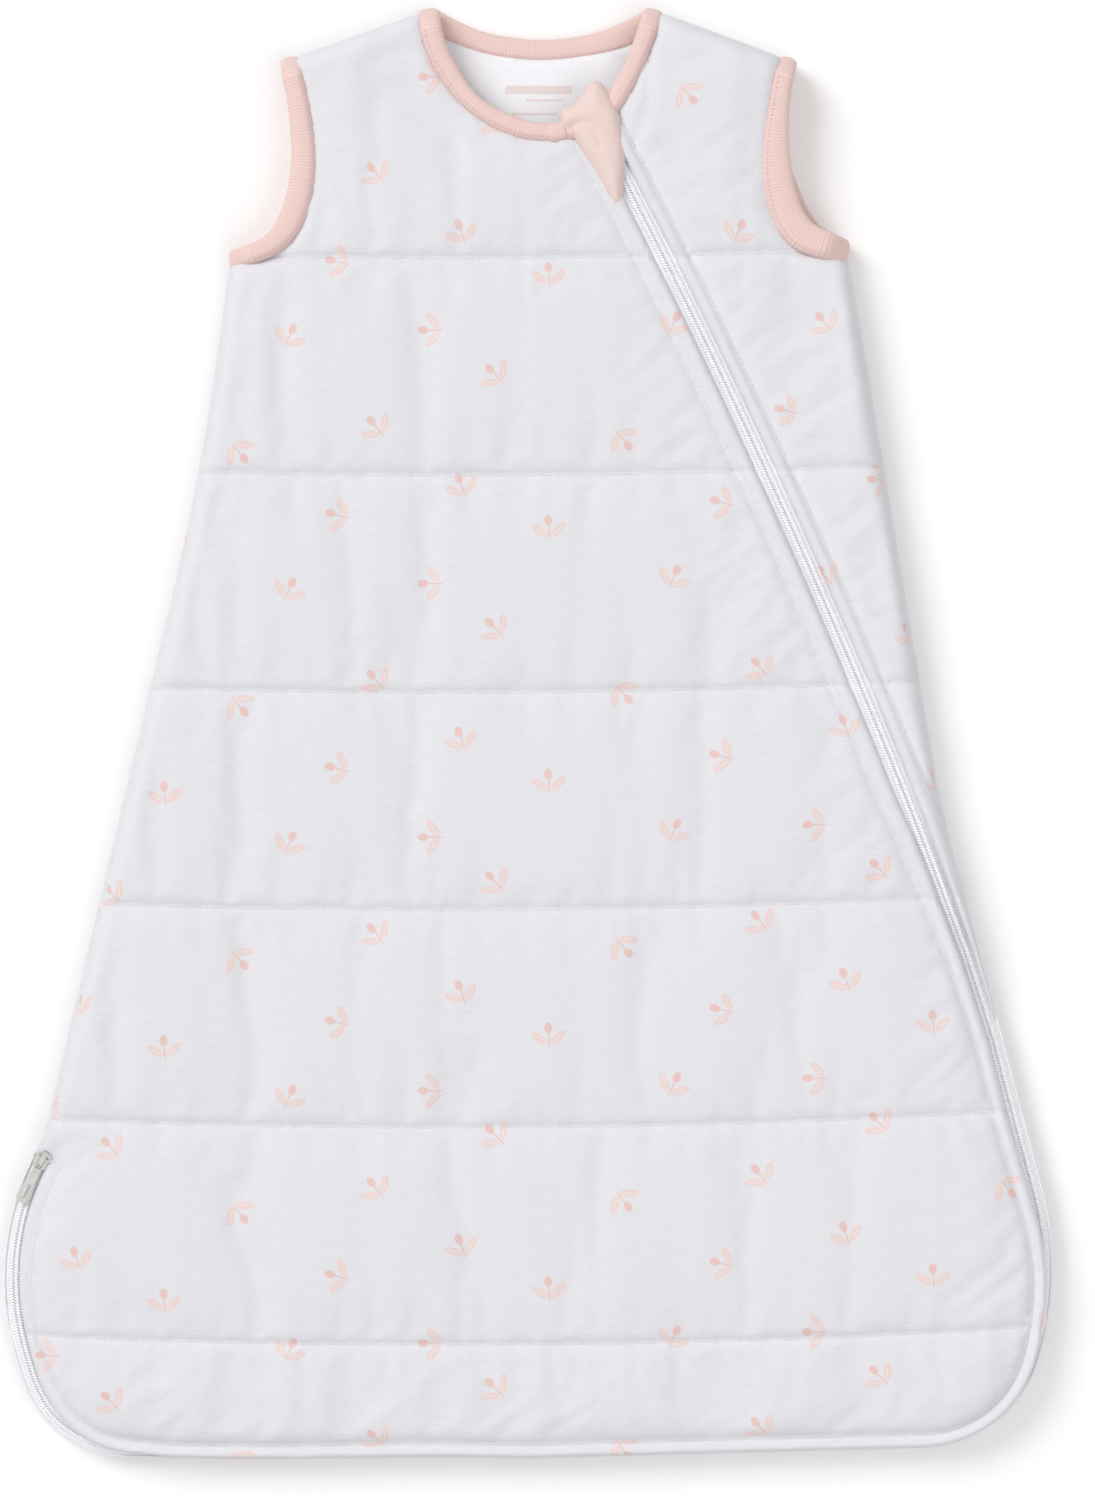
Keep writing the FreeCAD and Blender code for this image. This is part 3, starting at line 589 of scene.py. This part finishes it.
def cloth_look(name, colour, printed):
    look = Look(name)
    rest = look.uv("rest")
    slub, warp = look.noise(rest, (130, 1500, 1), 2), look.noise(rest, (1700, 260, 1), 2)
    patch = look.noise(rest, (22, 22, 1))
    weave = look.maths("ADD", look.maths("MULTIPLY", slub, 0.75), look.maths("MULTIPLY", warp, 0.45))
    base = look.mix(look.between(weave, 0.4, 0.8), dimmed(colour, 0.93), colour)
    base = look.mix(look.between(patch, 0.35, 0.7, 0, 0.35), base, dimmed(colour, 0.97))
    if printed:
        # A sprig with two leaves and a bud, in millimetres from its middle
        spot = look.vector("MULTIPLY", look.uv("print"), (100, 100, 0))
        both = look.vector("ABSOLUTE", spot)
        mirror = look.add("CombineXYZ", {
            0: look.add("SeparateXYZ", {0: both}, 0),
            1: look.add("SeparateXYZ", {0: spot}, 1)})
        leaf = look.ellipse(mirror, (4.4, -1.6), 40, (4.7, 1.9))
        vein = look.ellipse(mirror, (3.9, -2.0), 40, (3.6, 0.26))
        bud = look.ellipse(spot, (0, 3.2), 0, (1.9, 2.6))
        stem = look.ellipse(spot, (0, -2.2), 0, (0.4, 4.4))
        base = look.mix(look.maths("MULTIPLY", leaf, 0.8), base, LEAF_PINK)
        base = look.mix(look.maths("MULTIPLY", vein, 0.7), base, colour)
        base = look.mix(look.maths("MULTIPLY", look.maths("MAXIMUM", bud, stem), 0.75), base, BUD_PINK)
    look.set(Base_Color=base, Roughness=look.between(patch, 0.3, 0.7, 0.82, 0.94), Sheen_Weight=0.15)
    look.bump(weave, 0.00022, 0.8)
    return look.material


def rib_look(name, colour):
    look = Look(name)
    rest = look.uv("rest")
    ribs = look.add("TexWave", {"Vector": rest, "Scale": 210.0, "Distortion": 0.6, "Detail": 1}, 1,
                    bands_direction="X")
    fuzz = look.noise(rest, (900, 900, 1))
    height = look.maths("ADD", ribs, look.maths("MULTIPLY", fuzz, 0.5))
    look.set(Base_Color=look.mix(look.between(height, 0.3, 1.1), dimmed(colour, 0.92), colour),
             Roughness=look.between(fuzz, 0.3, 0.7, 0.84, 0.95), Sheen_Weight=0.15)
    look.bump(height, 0.00015, 0.6)
    return look.material


def plain_look(name, colour, roughness, scale, bump=0.0001, painted_glow=0.0):
    """Thread, tape, filament: one colour, with fine mottling and bump.

    The glow is painted light: emission that lifts the tape and the coil out of the shade they lie in."""
    look = Look(name)
    grain = look.noise(look.add("TexCoord", out=3), scale=scale)
    look.set(Base_Color=look.mix(look.between(grain, 0.35, 0.65), dimmed(colour, 0.9), colour),
             Roughness=look.between(grain, 0.3, 0.7, roughness - 0.05, roughness + 0.05),
             Emission_Color=colour, Emission_Strength=painted_glow)
    look.bump(grain, bump, 0.6)
    return look.material


def metal_look(name):
    """Satin nickel, with painted shade: faces that don't look straight up or down are painted darker."""
    look = Look(name)
    place = look.add("TexCoord", out=3)
    fine, wide = look.noise(place, scale=1400.0), look.noise(place, detail=2, scale=160.0)
    nickel_tone = look.mix(look.between(wide, 0.3, 0.7), (0.82, 0.81, 0.76, 1), (0.90, 0.89, 0.84, 1))
    painted_shade_by_facing = look.maths("ABSOLUTE", look.add("SeparateXYZ", {0: look.add("TexCoord", out=1)}, 2))
    # Painted shade: side faces turn dark grey, standing in for the dark surroundings they would reflect.
    look.set(Base_Color=look.mix(look.between(painted_shade_by_facing, 0.45, 0.85), (0.30, 0.30, 0.29, 1), nickel_tone),
             Metallic=1.0, Roughness=look.between(wide, 0.3, 0.7, 0.2, 0.27))
    look.bump(fine, 0.000004, 0.3)
    return look.material


SHELL = cloth_look("printed_cotton", CLOTH_WHITE, True)
LINING = cloth_look("lining_cotton", (0.88, 0.885, 0.92, 1), False)
RIB = rib_look("rib_knit", (0.82, 0.60, 0.565, 1))
GUARD_LOOK = cloth_look("guard_jersey", (0.82, 0.645, 0.605, 1), False)
# The tape and the coil glow a little: painted light against the shade in the zip's slot.
TAPE = plain_look("zip_tape", (0.86, 0.86, 0.89, 1), 0.8, 1500.0, painted_glow=0.09)
COIL = plain_look("zip_coil", (0.88, 0.88, 0.91, 1), 0.5, 600.0, 0.00003, painted_glow=0.09)
THREAD = plain_look("white_thread", (0.86, 0.86, 0.88, 1), 0.7, 2500.0)
PINK_THREAD = plain_look("pink_thread", (0.86, 0.66, 0.62, 1), 0.7, 2500.0)
BARS = plain_look("care_print", (0.80, 0.71, 0.70, 1), 0.85, 1500.0, 0.00002)
NICKEL = metal_look("satin_nickel")


# ---- Front quilt ----

SIDE_SEAM_Z = 6.3    # where the front and the back meet
SIDE_ROUND = 9.5    # the front rounds over within this much of a side seam
HEM_DROP, HEM_DROP_FROM, HEM_DROP_REACH = 4.9, 8, 8.5
HEM_FROM, HEM_FADE = -190, 22     # below this the left side is zipped, not sewn
GROOVE, GROOVE_HALF = 1.4, 1.4    # the sharp part of a quilting groove
HOLLOW, HOLLOW_REACH = 0.8, 6     # and the soft hollow round it
CROWN, CROWN_REACH = 1.1, 22    # how much a channel swells between its grooves
WELT_CROWN = 1.25
WELT_GROOVE, WELT_GROOVE_LESS, WELT_GROOVE_HALF = 2.4, 0.5, 2.1
WELT_START = 34    # the welt's groove begins over this length at the zip's lower end
RIM_ROUND, RIM_DROP, RIM_DROP_LESS = 3.4, 3.2, 1.8
CREASE_DEPTH, CREASE_HALF, CREASE_LIP, CREASE_LIP_REACH = 1.5, 2.4, 0.7, 8
SLIDER_ROOM, SLIDER_RUN_FROM, SLIDER_ROOM_REACH = 2.0, 1140, 9
HARDLY = 0.4    # within this of a line of stitches the cloth is held

zip_run = lengths_along(ZIP)
# Along the hem the panel's edge reaches out over the zip and hides it; it draws back at the lower left
LEFT_GAP = np.interp(zip_run, [385, 430, 560, 600, 650, 700, 1105, 1150, 1172, 1195, 1300],
                     [GAP, 2.6, 2.4, 1.4, -2.3, -4.0, -4.0, 0.8, 2.7, 2.9, 2.9])
LEFT_WELT_WIDTH, RIGHT_WELT_WIDTH = 8.4 - 2.0 * smooth((zip_run - 380) / 120), 7.4
RIGHT_END_Y = -140
LEFT_EDGE = aside(ZIP, -LEFT_GAP)
LEFT_WELT = aside(ZIP, -LEFT_GAP - LEFT_WELT_WIDTH)
RIGHT_EDGE = aside(ZIP[ZIP[:, 1] > RIGHT_END_Y], GAP)
RIGHT_WELT = aside(RIGHT_EDGE, RIGHT_WELT_WIDTH)
CREASE = [(57, 333), (58.5, 316), (57, 300), (51.5, 281)]


def side_height(distance):
    """Top of a front panel beside a seam that joins it to the back."""
    t = np.clip(distance / SIDE_ROUND, 0, 1)
    return SEAM_Z + (FRONT_TOP - 0.6 - SEAM_Z) * (1 - (1 - t) ** 2.1) ** 0.55


def hem_height(distance):
    """Top of the front panel beside the zip along the hem."""
    return FRONT_TOP - 0.3 - HEM_DROP * np.exp(-np.maximum(distance - HEM_DROP_FROM, 0) / HEM_DROP_REACH)


def puckers(plan, stitched, seed):
    """Short gathers that fan out from a line of stitches."""
    short = lumps(plan, 9, 34, seed) + 0.6 * lumps(plan, 5, 22, seed + 7)
    return short * np.exp(-stitched / 9.0)


def gathers(plan, rim, out, stitched, quilting):
    """All that is uneven in the cloth: gathers along its stitches, and wide lumps."""
    calm = smooth(rim / 12) * smooth(out / 10)
    slanting = plan @ np.array([(0.82, 0.57), (-0.57, 0.82)]).T
    uneven = 0.45 * puckers(plan, quilting, 1.0) * calm
    uneven += 0.6 * puckers(slanting[:, ::-1], stitched / 2.2, 3.0) * smooth((rim - 6) / 6)
    return uneven + (1.2 * lumps(plan, 38, 120, 5.0) + 0.45 * lumps(plan, 15, 70, 6.0)) * calm


def make_room(plan, top, to_zip):
    """Lower beside the lower slider's run, but over the end stop, and a dip that its puller swings into."""
    on_run = smooth((zip_run[nearest(plan, ZIP)] - SLIDER_RUN_FROM) / 30)
    top -= SLIDER_ROOM * on_run * np.exp(-to_zip / SLIDER_ROOM_REACH)
    from_stop = np.hypot(*(plan - END_STOP).T)
    top += np.maximum(END_STOP_COVER - top, 0) * (1 - smooth((from_stop - 5) / 4))
    ahead = (plan - PULLER_PIVOT) @ PULLER_BACK
    beside = np.abs((plan - PULLER_PIVOT) @ np.array([-PULLER_BACK[1], PULLER_BACK[0]]))
    ceiling = PULLER_UNDER + PULLER_RISE * np.maximum(ahead, 0)
    dip = (1 - smooth((beside - PULLER_ROOM) / 4.5)) * smooth((ahead + 2) / 2)
    return top - np.maximum(top - ceiling, 0) * dip


def front_height(plan, edge, welt, hem_side):
    """Top and bottom of a front panel, and which of its points are stitched down."""
    out, rim, stitched, to_zip = (near(plan, line) for line in (EDGE, edge, welt, ZIP))
    quilting = quilting_distance(plan)
    top, over_zip, lower, welted = side_height(out), np.zeros(len(plan)), np.zeros(len(plan)), 1.0
    if hem_side:
        lower = np.where(plan[:, 0] > 0, 1.0, smooth((HEM_FROM - plan[:, 1]) / HEM_FADE))
        top = top * (1 - lower) + hem_height(out) * lower
        over_zip = smooth((10.5 - to_zip) / 3) * smooth((RAMP_END_Y - plan[:, 1]) / 50)
        welted = smooth(np.hypot(*(plan - ZIP[-1]).T) / WELT_START)
    free = lower + (1 - lower) * smooth(out / 4)
    in_welt = smooth((10.5 - rim - stitched) / 1.5)
    groove = GROOVE * np.exp(-(quilting / GROOVE_HALF) ** 1.4) + HOLLOW * np.exp(-quilting / HOLLOW_REACH)
    top -= groove * (1 - 0.6 * in_welt) * free
    top += CROWN * (1 - np.exp(-quilting / CROWN_REACH)) * free
    top += WELT_CROWN * in_welt * 4 * rim * stitched / (rim + stitched + 0.1) ** 2 * free
    welt_groove = WELT_GROOVE - WELT_GROOVE_LESS * lower
    top -= welt_groove * np.exp(-(stitched / WELT_GROOVE_HALF) ** 1.4) * free * welted
    bend = 1 - np.sqrt(1 - (1 - np.clip(rim / RIM_ROUND, 0, 1)) ** 2)
    covering = over_zip * smooth((2.9 - to_zip) / 1.0)
    top -= (RIM_DROP - RIM_DROP_LESS * covering) * bend
    top += gathers(plan, rim, out, stitched, quilting)
    crease = near(plan, through(CREASE, 1.0))
    top -= CREASE_DEPTH * np.exp(-(crease / CREASE_HALF) ** 2)
    top += CREASE_LIP * np.exp(-(crease / CREASE_LIP_REACH) ** 2)
    if hem_side:
        top = make_room(plan, top, to_zip)
    # The bottom keeps the quilt's thickness where it can, and stays above the tape and the coil
    thick = (QUILT - 3.3 * bend) * np.where(rim < out, 1, smooth(0.25 + out / 12))
    clear = 7.9 + 4.3 * over_zip + 2.3 * smooth((3.9 - to_zip) / 0.8) * (over_zip > 0)
    bottom = np.maximum(top - np.maximum(thick, 0.7), np.minimum(top - 0.6, clear))
    seam = (1 - lower) * np.exp(-(out / 0.8) ** 2)
    bottom = bottom * (1 - seam) + SIDE_SEAM_Z * seam
    fixed = (quilting < HARDLY) | (stitched < HARDLY) | (rim < HARDLY) | (out < HARDLY)
    return top, bottom, fixed


FAR_ASIDE, FAR_UP = 400, 420    # well clear of the bag


def region(edge, side):
    """Polygon of all that lies on one side of the zip: the left (-1) or the right (1)."""
    far = side * FAR_ASIDE
    return np.vstack([edge, [(far, edge[-1][1]), (far, FAR_UP), (edge[0][0], FAR_UP)]])


def hole(points, side=0):
    """The opening that a binding leaves in a quilt: the neck, or an armhole at one side."""
    curve = aside(through(points, 2.5), TUCK * (side or 1))
    if side:
        return np.vstack([curve, [(side * 300, curve[-1][1]), (side * 300, curve[0][1])]])
    return np.vstack([curve, [(curve[-1][0], FAR_UP), (curve[0][0], FAR_UP)]])


ARM_HOLES = [hole(ARM_LEFT_SEAM, -1), hole(ARM_RIGHT_SEAM, 1)]
RAW_EDGES = [hole(NECK_SEAM)[:-2]] + [opening[:-2] for opening in ARM_HOLES]
across_bag = np.linspace(-280, 280, 57)
quilt_lines = [np.column_stack([across_bag, y + QUILT_RISE * across_bag + QUILT_SAG * across_bag ** 2])
               for y in QUILT_LINES]
FRONT_STEP, BACK_STEP = 3.2, 4.0
BOUND_DROP, BOUND_REACH = 4.0, 1.9    # how a quilt dives under a binding


def front_panel(name, edge, welt, hem_side, shift):
    """A front panel: its mesh, and its plan and top for the stitches that lie on it."""
    way = -1 if hem_side else 1
    lines = quilt_lines + [line + (0, off) for line in quilt_lines for off in (-3.9, -1.5, 1.5, 3.9)] + [welt]
    lines += [aside(welt, off) for off in (-1.7, 1.7)] + [aside(edge, way * off) for off in (1.1, 2.4)]
    plan, faces = triangulate([OUTLINE, region(edge, way)], [hole(NECK_SEAM)] + ARM_HOLES, lines, FRONT_STEP)
    top, bottom, fixed = front_height(plan, edge, welt, hem_side)
    bound = np.min([near(plan, line) for line in RAW_EDGES], axis=0)
    top -= BOUND_DROP * np.exp(-bound / BOUND_REACH)
    top = settle(plan, faces, top, fixed | (bound < HARDLY))
    bottom = np.minimum(bottom, top - 0.5)
    # Where the top has come down the side, the cloth reaches further than it does in plan
    reach = 0.8 * np.maximum(FRONT_TOP - 1.6 - top, 0)
    made = closed_shell(name, plan, faces, top, bottom, SHELL, (reach, reach + top - bottom))
    print_layer(made.data, shift)
    line_inside(made, -1)
    return made, plan, top


left_quilt, left_plan, left_top = front_panel("front_left_quilt", LEFT_EDGE, LEFT_WELT, True, (0, 0))
right_quilt, right_plan, right_top = front_panel("front_right_quilt", RIGHT_EDGE, RIGHT_WELT, False, (31, 44))


def folds(piece):
    """Bakes a piece's placement into its mesh."""
    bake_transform(piece)


def declare(piece, slot, *nodes):
    """Hides the CAD nodes that a piece stands for; the piece and the slot are not used."""
    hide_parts(*nodes)


folds(left_quilt)
declare(left_quilt, "quilt_shell", "front_left_shell", "front_left_wadding", "front_left_lining",
        "lapel_shell", "lapel_wadding", "lapel_lining")
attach(right_quilt, "root")
declare(right_quilt, "quilt_shell", "front_right_shell", "front_right_wadding", "front_right_lining")


# ---- Back quilt ----

BACK_TOP, BACK_SIDES = 7.4, 4.6
HEM_TURN_UP = 6.2


def back_panel():
    """The back, open to the bag's inside on top, with its underside on the table."""
    lines = quilt_lines + [aside(LOWER, -off) for off in (0.9, 2.6)]
    plan, faces = triangulate([OUTLINE], [hole(BACK_NECK_SEAM)] + ARM_HOLES, lines, BACK_STEP)
    out, quilting = near(plan, EDGE), quilting_distance(plan)
    calm = smooth(out / 12)
    top = BACK_TOP - 0.9 * np.exp(-quilting / 5) + 0.25 * puckers(plan, quilting, 11.0) * calm
    top = np.minimum(top, BACK_TOP + 0.1) - 1.0 * np.exp(-out / 2.0)
    # Round the hem the edge turns up over the zip's outer tape
    hem = np.where(plan[:, 0] < 0, smooth((-190 - plan[:, 1]) / 14), smooth((-116 - plan[:, 1]) / 26))
    top += HEM_TURN_UP * hem * (1 - smooth((out - 0.7) / 2.0))
    bottom = 1.5 * np.exp(-quilting / 5) * calm
    bottom += BACK_SIDES * (1 - np.clip(out / 9, 0, 1)) ** 2.2
    bottom = np.maximum(bottom + 0.2 * (1 + puckers(plan, quilting, 13.0)) * np.exp(-quilting / 9), 0)
    bottom = np.minimum(bottom, top - 0.8)
    reach = 0.9 * bottom
    made = closed_shell("back_quilt", plan, faces, top, bottom, SHELL, (reach + top - bottom, reach))
    print_layer(made.data, (57, -36))
    line_inside(made, 1)
    return made


back_quilt = back_panel()
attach(back_quilt, "root")
declare(back_quilt, "quilt_shell", "back_shell", "back_wadding", "back_lining", "hem_edge_strip")


# ---- Rib bindings ----

END_ROUND = 3.5
RIB_PITCH, RIB_HEIGHT = 1.7, 0.06


def binding(name, edge, seam, levels):
    """A rib tape over a raw edge: a plump roll between its edge curve and its seam curve."""
    curves = through(edge, 0.45), through(seam, 0.45)
    count = int(lengths_along(curves[0])[-1] / 0.42)
    outer, inner = (spaced(curve, lengths_along(curve)[-1] / count)[:count] for curve in curves)
    middle = (outer + inner) / 2
    z, high = levels(middle)
    at = lengths_along(middle)
    to_end = np.clip(np.minimum(at, at[-1] - at) / END_ROUND, 0.0, 1)
    rounded = 0.12 + 0.88 * np.sqrt(1 - (1 - to_end) ** 2)
    half, high = (np.linalg.norm(outer - inner, axis=1) / 2 + 0.5) * rounded, high * rounded
    path = np.column_stack([middle, z])
    ribs = RIB_HEIGHT * np.sin(at * 2 * math.pi / RIB_PITCH) * to_end
    made = tube(name, path, lambda k: rounded_section(half[k] + ribs[k] * 0.5, high[k] + ribs[k], 22, 2.7), RIB)
    return made, path, half, high


def front_levels(middle):
    """Height of a front binding's middle, and half its thickness: both less towards the bag's edge."""
    out = smooth(near(middle, EDGE) / 13)
    return 11.7 + 9.2 * out, 2.7 + 1.9 * out


def back_levels(middle):
    out = smooth(near(middle, EDGE) / 14)
    return 5.4 - 1.0 * out, 2.8 + 1.3 * out


def thin(curve, count=14):
    """The few points that a curve can be drawn through again."""
    return [tuple(p) for p in spaced(curve, lengths_along(curve)[-1] / count)]


NECK_TOP_FRONT, NECK_TOP_BACK = 349.2, 348.5
BESIDE_ZIP, FOLD_FROM, FOLD_TO = 4.6, -26, -13    # sideways from the zip
FOLD_OVER = 0.9    # the folded end lies this much over the binding
RIM_ONLY = 0.8


def trim(points, low, high):
    """The part of a neck curve that lies on one side of the zip, below the shoulders."""
    curve = through(points, 1.0)
    zip_x = np.interp(curve[:, 1], ZIP[::-1, 1], ZIP[::-1, 0])
    offset = curve[:, 0] - zip_x
    keep = (offset >= low) & (offset <= high) & (curve[:, 1] <= NECK_TOP_FRONT)
    return thin(curve[keep])


def below_top(points):
    curve = through(points, 1.0)
    return thin(curve[curve[:, 1] <= NECK_TOP_BACK])


def in_polygon(p, polygon):
    x, y = polygon[:, 0], polygon[:, 1]
    x2, y2 = np.roll(x, -1), np.roll(y, -1)
    crosses = ((y > p[1]) != (y2 > p[1])) & (p[0] < (x2 - x) * (p[1] - y) / (y2 - y + 1e-12) + x)
    return bool(np.sum(crosses) % 2)


def arm_curve(points):
    """The part of an armhole curve that lies on the bag."""
    curve = through(points, 1.0)
    inside = np.array([in_polygon(p, OUTLINE) for p in curve])
    return thin(curve[inside | (near(curve, EDGE) < RIM_ONLY)])


def folded_levels(middle):
    z, high = front_levels(middle)
    return z + FOLD_OVER, high


def neck_bends(piece):
    """Bakes the placement of a piece of the neck into its mesh."""
    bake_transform(piece)


def front_neck(name, low, high, levels=front_levels):
    return binding("neck_binding_" + name, trim(NECK_EDGE, low, high), trim(NECK_SEAM, low, high), levels)


bind_left = front_neck("left", -FAR_ASIDE, -BESIDE_ZIP)
bind_right = front_neck("right", BESIDE_ZIP, FAR_ASIDE)
bind_fold = front_neck("fold", FOLD_FROM, FOLD_TO, folded_levels)
bind_back = binding("neck_binding_back", below_top(BACK_NECK_EDGE), below_top(BACK_NECK_SEAM), back_levels)
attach(bind_fold[0], "left_lapel")
neck_bends(bind_left[0])
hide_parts("neck_binding_lapel")
for piece in (bind_right[0], bind_back[0]):
    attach(piece, "root")
    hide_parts("neck_binding")

# The back binding of an armhole shows below the front one, more so on the right
arm_rings = {}
for side, edge, seam, shift in (("left", ARM_LEFT_EDGE, ARM_LEFT_SEAM, (-0.5, 0.5)),
                                ("right", ARM_RIGHT_EDGE, ARM_RIGHT_SEAM, (3.6, 2.8))):
    front_ring = binding("armhole_binding_front_" + side, arm_curve(edge), arm_curve(seam), front_levels)
    back_edge = [tuple(np.array(p) + np.array(shift) * math.sin(math.pi * max(k - 6, 0) / 8))
                 for k, p in enumerate(arm_curve(edge))]
    back_ring = binding("armhole_binding_back_" + side, back_edge, arm_curve(seam), back_levels)
    for piece in (front_ring[0], back_ring[0]):
        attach(piece, "root")
        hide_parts("armhole_binding_" + side)
    arm_rings[side] = front_ring


# ---- Zip ----

TOP_END_BELOW = 8    # the zip's top end lies this far past the upper puller's place
TAPE_HALF, TAPE_HALF_LESS = 3.2, 1.0
FLAT_TAPE = np.array([(-1, -0.3), (1, -0.3), (1, 0.3), (-1, 0.3)])
FIRST_POINTS = 120    # the zip's top end is among these

top_end = float(np.interp(-ZIP_START[1] - TOP_END_BELOW, -ZIP[:, 1][:FIRST_POINTS], zip_run[:FIRST_POINTS]))
full = ZIP[zip_run >= top_end]
full = np.column_stack([full, tape_z(full[:, 1])])


def tape(name, line, side, material):
    """One side's tape: the right one gets narrower where the zip nears the bag's edge."""
    half = TAPE_HALF + np.zeros(len(line))
    if side > 0:
        half -= TAPE_HALF_LESS * smooth((lengths_along(line) - 380) / 100)
    path = np.column_stack([aside(line, side * (half + 0.05)), line[:, 2]])
    return tube(name, path, lambda k: FLAT_TAPE * (half[k], 1), material)


for make, kind, ending, material in ((tape, "zip_tape_", "_soft", TAPE), (coil, "zip_coil_", "_wound", COIL)):
    left = make(kind + "left" + ending, full, -1, material)
    right = make(kind + "right" + ending, full, 1, material)
    folds(left)
    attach(right, "root")
    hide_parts(kind + "left", kind + "lapel")
    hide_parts(kind + "right")


# ---- Zip guard ----

GUARD_Z, GUARD_UNDER, GUARD_PUFF = 25.0, 24.7, 3.9
GUARD_CREASE = [(21, 290), (27, 292), (32, 288), (35, 280)]


def guard():
    """Puffy leaf over the zip's top, sewn down along its left edge."""
    rim = through(GUARD, 1.6)
    plan, faces = triangulate([rim], [], [], 1.6)
    inside = near(plan, np.vstack([rim, rim[:1]]))
    crease = near(plan, through(GUARD_CREASE, 1.0))
    middle = smooth(inside / 4)
    dome = GUARD_Z - 1.2 * np.exp(-inside / 1.5) + GUARD_PUFF * (1 - np.exp(-inside / 3.4))
    dome -= 1.1 * np.exp(-(crease / 1.7) ** 2) * middle
    dome += 0.5 * lumps(plan, 9, 14, 21.0) * middle
    under = np.minimum(GUARD_UNDER - 1.2 * np.exp(-inside / 1.5), dome - 0.4)
    return closed_shell("zip_guard_soft", plan, faces, dome, under, GUARD_LOOK)


guard_piece = guard()
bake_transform(guard_piece)
declare(guard_piece, "guard_fabric", "zip_guard_face", "zip_guard_backing")


# ---- Stitching ----

ON_PANEL, SHORTEST_RUN = 1.9, 5


def on_panel(lines, plan, top):
    """The stretches of the lines that lie on a panel, laid on its surface."""
    tree, parts = plan_tree(plan), []
    for line in lines:
        current = []
        for p in [*spaced(line, 1.0), None]:
            found = [] if p is None else tree.find_n((p[0], p[1], 0), 3)
            if found and found[0][2] < ON_PANEL:
                weights = [1 / (f[2] + 0.2) for f in found]
                z = sum(w * top[f[1]] for w, f in zip(weights, found)) / sum(weights)
                current.append((*p, z))
            else:
                parts += [np.array(current)] if len(current) >= SHORTEST_RUN else []
                current = []
    return parts


left_lines = on_panel(quilt_lines + [LEFT_WELT], left_plan, left_top)
right_lines = on_panel(quilt_lines + [RIGHT_WELT], right_plan, right_top)
folds(stitches("stitching_left", left_lines, THREAD))
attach(stitches("stitching_right", right_lines, THREAD), "root")


def binding_stitches(name, made, side):
    """A line of stitches along a binding, near its inner side."""
    _, path, half, high = made
    line = aside(path, side * (half - 2.2))
    on_top = np.column_stack([line, path[:, 2] + high + 0.02])
    return stitches(name, [on_top], PINK_THREAD, pitch=2.6, length=1.9, radius=0.15)


neck_bends(binding_stitches("neck_stitching_left", bind_left, -1))
for name, made, side in (("neck_stitching_right", bind_right, -1), ("neck_stitching_back", bind_back, -1),
                         ("armhole_stitching_left", arm_rings["left"], 1),
                         ("armhole_stitching_right", arm_rings["right"], -1)):
    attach(binding_stitches(name, made, side), "root")


# ---- Care print inside the back of the neck ----

# Three plain bars where a care print sits
points, faces = [], []
for x0, x1, y, half in ((-11, 21, 310.7, 2.0), (-1, 17, 305.6, 0.5), (-8, 14, 299.0, 0.6)):
    faces += ring_faces(len(points), 2, 4)
    for z in (7.2, 7.44):
        points += [(x0, y - half, z), (x1, y - half, z), (x1, y + half, z), (x0, y + half, z)]
care_print = mesh("care_print_bars", points, faces, BARS)
care_print.data.shade_flat()
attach(care_print, "root")


# ---- CAD nodes that stay in view ----

for node in ("upper_slider_body", "upper_puller_tab", "lower_slider_body", "lower_puller_tab",
             "zip_top_stop_left", "zip_top_stop_right", "zip_end_stop"):
    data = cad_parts[node].data
    data.materials.clear()
    data.materials.append(NICKEL)


# ---- Floor, light and camera ----

FLOOR_HALF, FLOOR_Z = 6000, -0.3

table = Look("white_table")
grain = table.noise(table.add("TexCoord", out=3), detail=2, scale=40.0)
table.set(Base_Color=table.mix(grain, (0.93, 0.93, 0.93, 1), (0.95, 0.95, 0.95, 1)), Roughness=0.9,
          Emission_Color=(1, 1, 1, 1), Emission_Strength=0.01)
corners = [(x * FLOOR_HALF, y * FLOOR_HALF, FLOOR_Z) for x, y in ((-1, -1), (1, -1), (1, 1), (-1, 1))]
mesh("floor", corners, [(0, 1, 2, 3)], table.material)


def lamp(name, place, size, power):
    """A round soft lamp aimed at the middle of the bag."""
    data = bpy.data.lights.new(name, "AREA")
    data.shape, data.size, data.energy = "DISK", size, power
    made = add_object(name, data)
    made.location = place
    made.rotation_euler = (-Vector(place)).to_track_quat("-Z", "Y").to_euler()


lamp("key", (-3.9, 3.1, 4.4), 3.6, 232)
lamp("fill", (1.2, -1.0, 2.6), 2.5, 22)

# The room's light is brighter from above than from the sides
ROOM_SIDES, ROOM_ABOVE = 0.22, 0.70
room = Look("soft_room", "worlds", "Background")
upward = room.add("SeparateXYZ", {0: room.add("TexCoord")}, 2)
room.set(Color=(1.0, 0.995, 0.99, 1), Strength=room.between(upward, -0.1, 0.9, ROOM_SIDES, ROOM_ABOVE))

CAMERA_LENS, CAMERA_SENSOR = 90, 36
VIEW_HEIGHT, VIEW_PLANE_Z = 0.720, 0.020  # metres of the bag in the frame, and at what height
camera_data = bpy.data.cameras.new("camera")
camera_data.lens = CAMERA_LENS
camera_data.sensor_fit = "VERTICAL"
camera_data.sensor_height = CAMERA_SENSOR
camera = add_object("camera", camera_data)
camera.location = (0.0094, -0.0084, VIEW_PLANE_Z + VIEW_HEIGHT * CAMERA_LENS / CAMERA_SENSOR)
scene.world, scene.camera = room.material, camera
scene.view_settings.view_transform, scene.view_settings.look = "Standard", "None"
